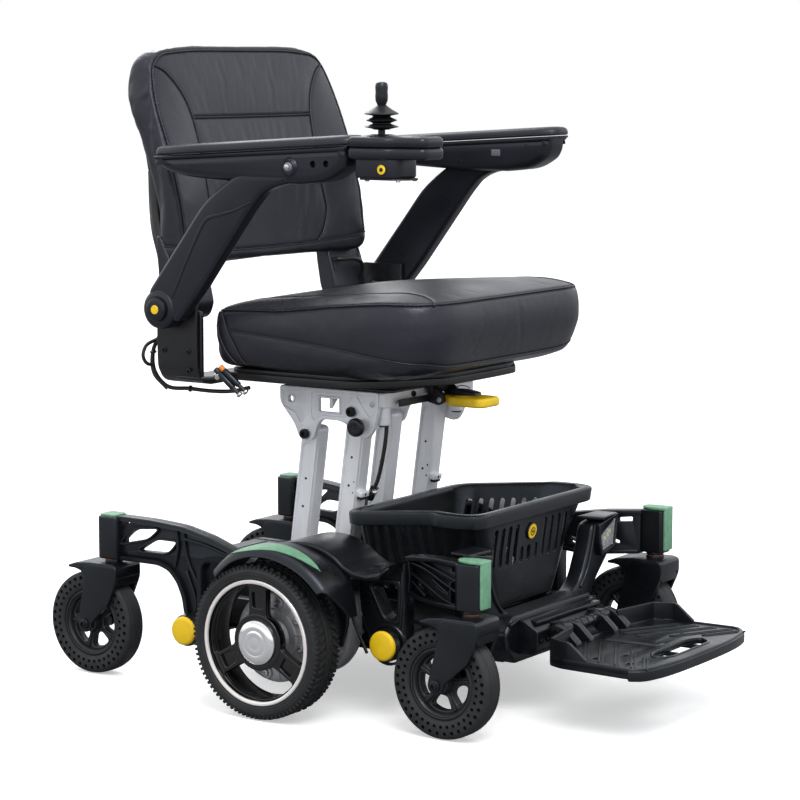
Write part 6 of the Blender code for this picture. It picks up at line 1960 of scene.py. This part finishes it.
def stitch_rows(seams, cover, gap=0.0030):
    """Thread: short rounded stitches in one or two rows beside each seam that has them."""
    skin_tree = surface_tree(cover)
    bm = bmesh.new()
    for points, rows, _ in seams:
        if not rows:
            continue
        path = [points[0]]
        for point in points[1:]:
            if (point - path[-1]).length > STITCH_STEP:
                path.append(point)
        for a, b in zip(path, path[1:]):
            place, normal = skin_tree.find_nearest((a + b) / 2)[:2]
            ahead = (b - a).normalized()
            side = normal.cross(ahead).normalized()
            for shift in ((-gap, gap) if rows == 2 else (gap * 0.8,)):
                spot, up = skin_tree.find_nearest(place + side * shift)[:2]
                turn = Matrix((ahead, up.cross(ahead).normalized(), up)).transposed().to_4x4()
                place_it = Matrix.Translation(spot + up * 0.00012) @ turn @ Matrix.Diagonal(STITCH)
                made = bmesh.ops.create_icosphere(bm, subdivisions=1, radius=1)
                bmesh.ops.transform(bm, matrix=place_it, verts=made["verts"])
    return from_bm(bm, THREAD)


def welts(seams, radius=0.0011):
    """Thin rolled edge in the valley of each seam."""
    return [tube(points[::2] + points[-1:], radius, VINYL, 2, smooth=False) for points, *_ in seams]


SEAT_SWELL, BACK_SWELL = 0.010, 0.007     # how far a cover may rise from its form


def cushion_group():
    """Both cushions: formed, plumped, grooved along the seams and stitched."""
    voxel = 0.0052
    forms = [remeshed(form, voxel) for form in (seat_form(), back_form())]
    lines = [on_surface(seams, form) for seams, form in zip((seat_seams(), back_seams()), forms)]
    covers = plump(list(zip(forms, lines, (SEAT_SWELL, BACK_SWELL))))
    names = (("stitched_seat_cushion", "seat", "seat_cushion"),
             ("stitched_back_cushion", "backrest", "back_cushion"))
    for cover, seams, (name, body, stands_for) in zip(covers, lines, names):
        cover = grooved(cover, seams)
        shells = [cover, stitch_rows(seams, cover)] + welts(seams)
        piece = merge(name, shells, body, [stands_for], "upholstery", angle=60)


def back_frame():
    """Board behind the cushion on two bent tubes, each with a padded facing and a fold strap."""
    board = [(-0.186, 0.655), (0.186, 0.655), (0.186, 0.860), (0.150, 0.885),
             (-0.150, 0.885), (-0.186, 0.860)]
    flat = plate(rounded(board, 0.012), -0.0045, 0.0045, COAT, plane="XZ", edge=0.0020)
    tilt = about(0.294, 0.755, -math.degrees(math.atan(BACK_SLOPE)))
    shells = [moved(flat, tilt @ Matrix.Translation((0, 0.294, 0)))]
    for sign in (-1, 1):
        x = sign * 0.205
        route = [(x, 0.2130, 0.5480), (x, 0.2300, 0.5560), (x, 0.2460, 0.5780),
                 (x, 0.2500, 0.6250), (x * 0.97, 0.2660, 0.6640),
                 (x * 0.90, 0.2820, 0.7000), (x * 0.86, 0.2900, 0.7500)]
        shells.append(tube(route, 0.0120, COAT, 6, per_span=6))
        facing = [(0.2080, 0.5420), (0.2200, 0.5360), (0.2330, 0.5600), (0.2400, 0.6000),
                  (0.2440, 0.6380), (0.2440, 0.6600), (0.2360, 0.6600), (0.2200, 0.6300),
                  (0.2080, 0.5900), (0.2010, 0.5600)]
        low, high = across(sign, 0.1520, 0.2360)
        shells.append(plate(rounded(facing, 0.006, 4), low, high, VINYL, edge=0.0050, segs=4))
        for edge_x in (0.1560, 0.2320):
            seam = [(sign * edge_x, 0.2055, 0.5850),
                    (sign * edge_x, 0.2120, 0.6080), (sign * edge_x, 0.2240, 0.6360)]
            shells.append(tube(seam, 0.0009, VINYL, 2))
        shells.append(bolt(sign, 0.2050, 0.2555, (0.2120, 0.5450), 0.0084, STEEL, 30))
        strap = [(sign * 0.2200, 0.2050, 0.5560),
                 (sign * 0.2150, 0.1950, 0.5900),
                 (sign * 0.1950, 0.1940, 0.6020),
                 (sign * 0.1600, 0.1970, 0.6040), (sign * 0.1560, 0.2080, 0.6040)]
        shells.append(tube(strap, 0.0032, COAT, 4, per_span=6))
        for z in (0.720, 0.790):
            y = 0.2975 + BACK_SLOPE * (z - 0.755)
            shells.append(pin((x * 0.80, y, z), (x * 0.80, y + 0.004, z), 0.0050, STEEL, 20, 0.0008, 0.0024))
    return shells


def soft_group():
    merge("padded_back_frame", back_frame(), "backrest", ["back_frame"], "frame_coat")
    cushion_group()


add_camera()
add_studio()
drive_group()
caster_group()
side_group()
nose_group()
lift_group()
seat_metal_group()
soft_group()
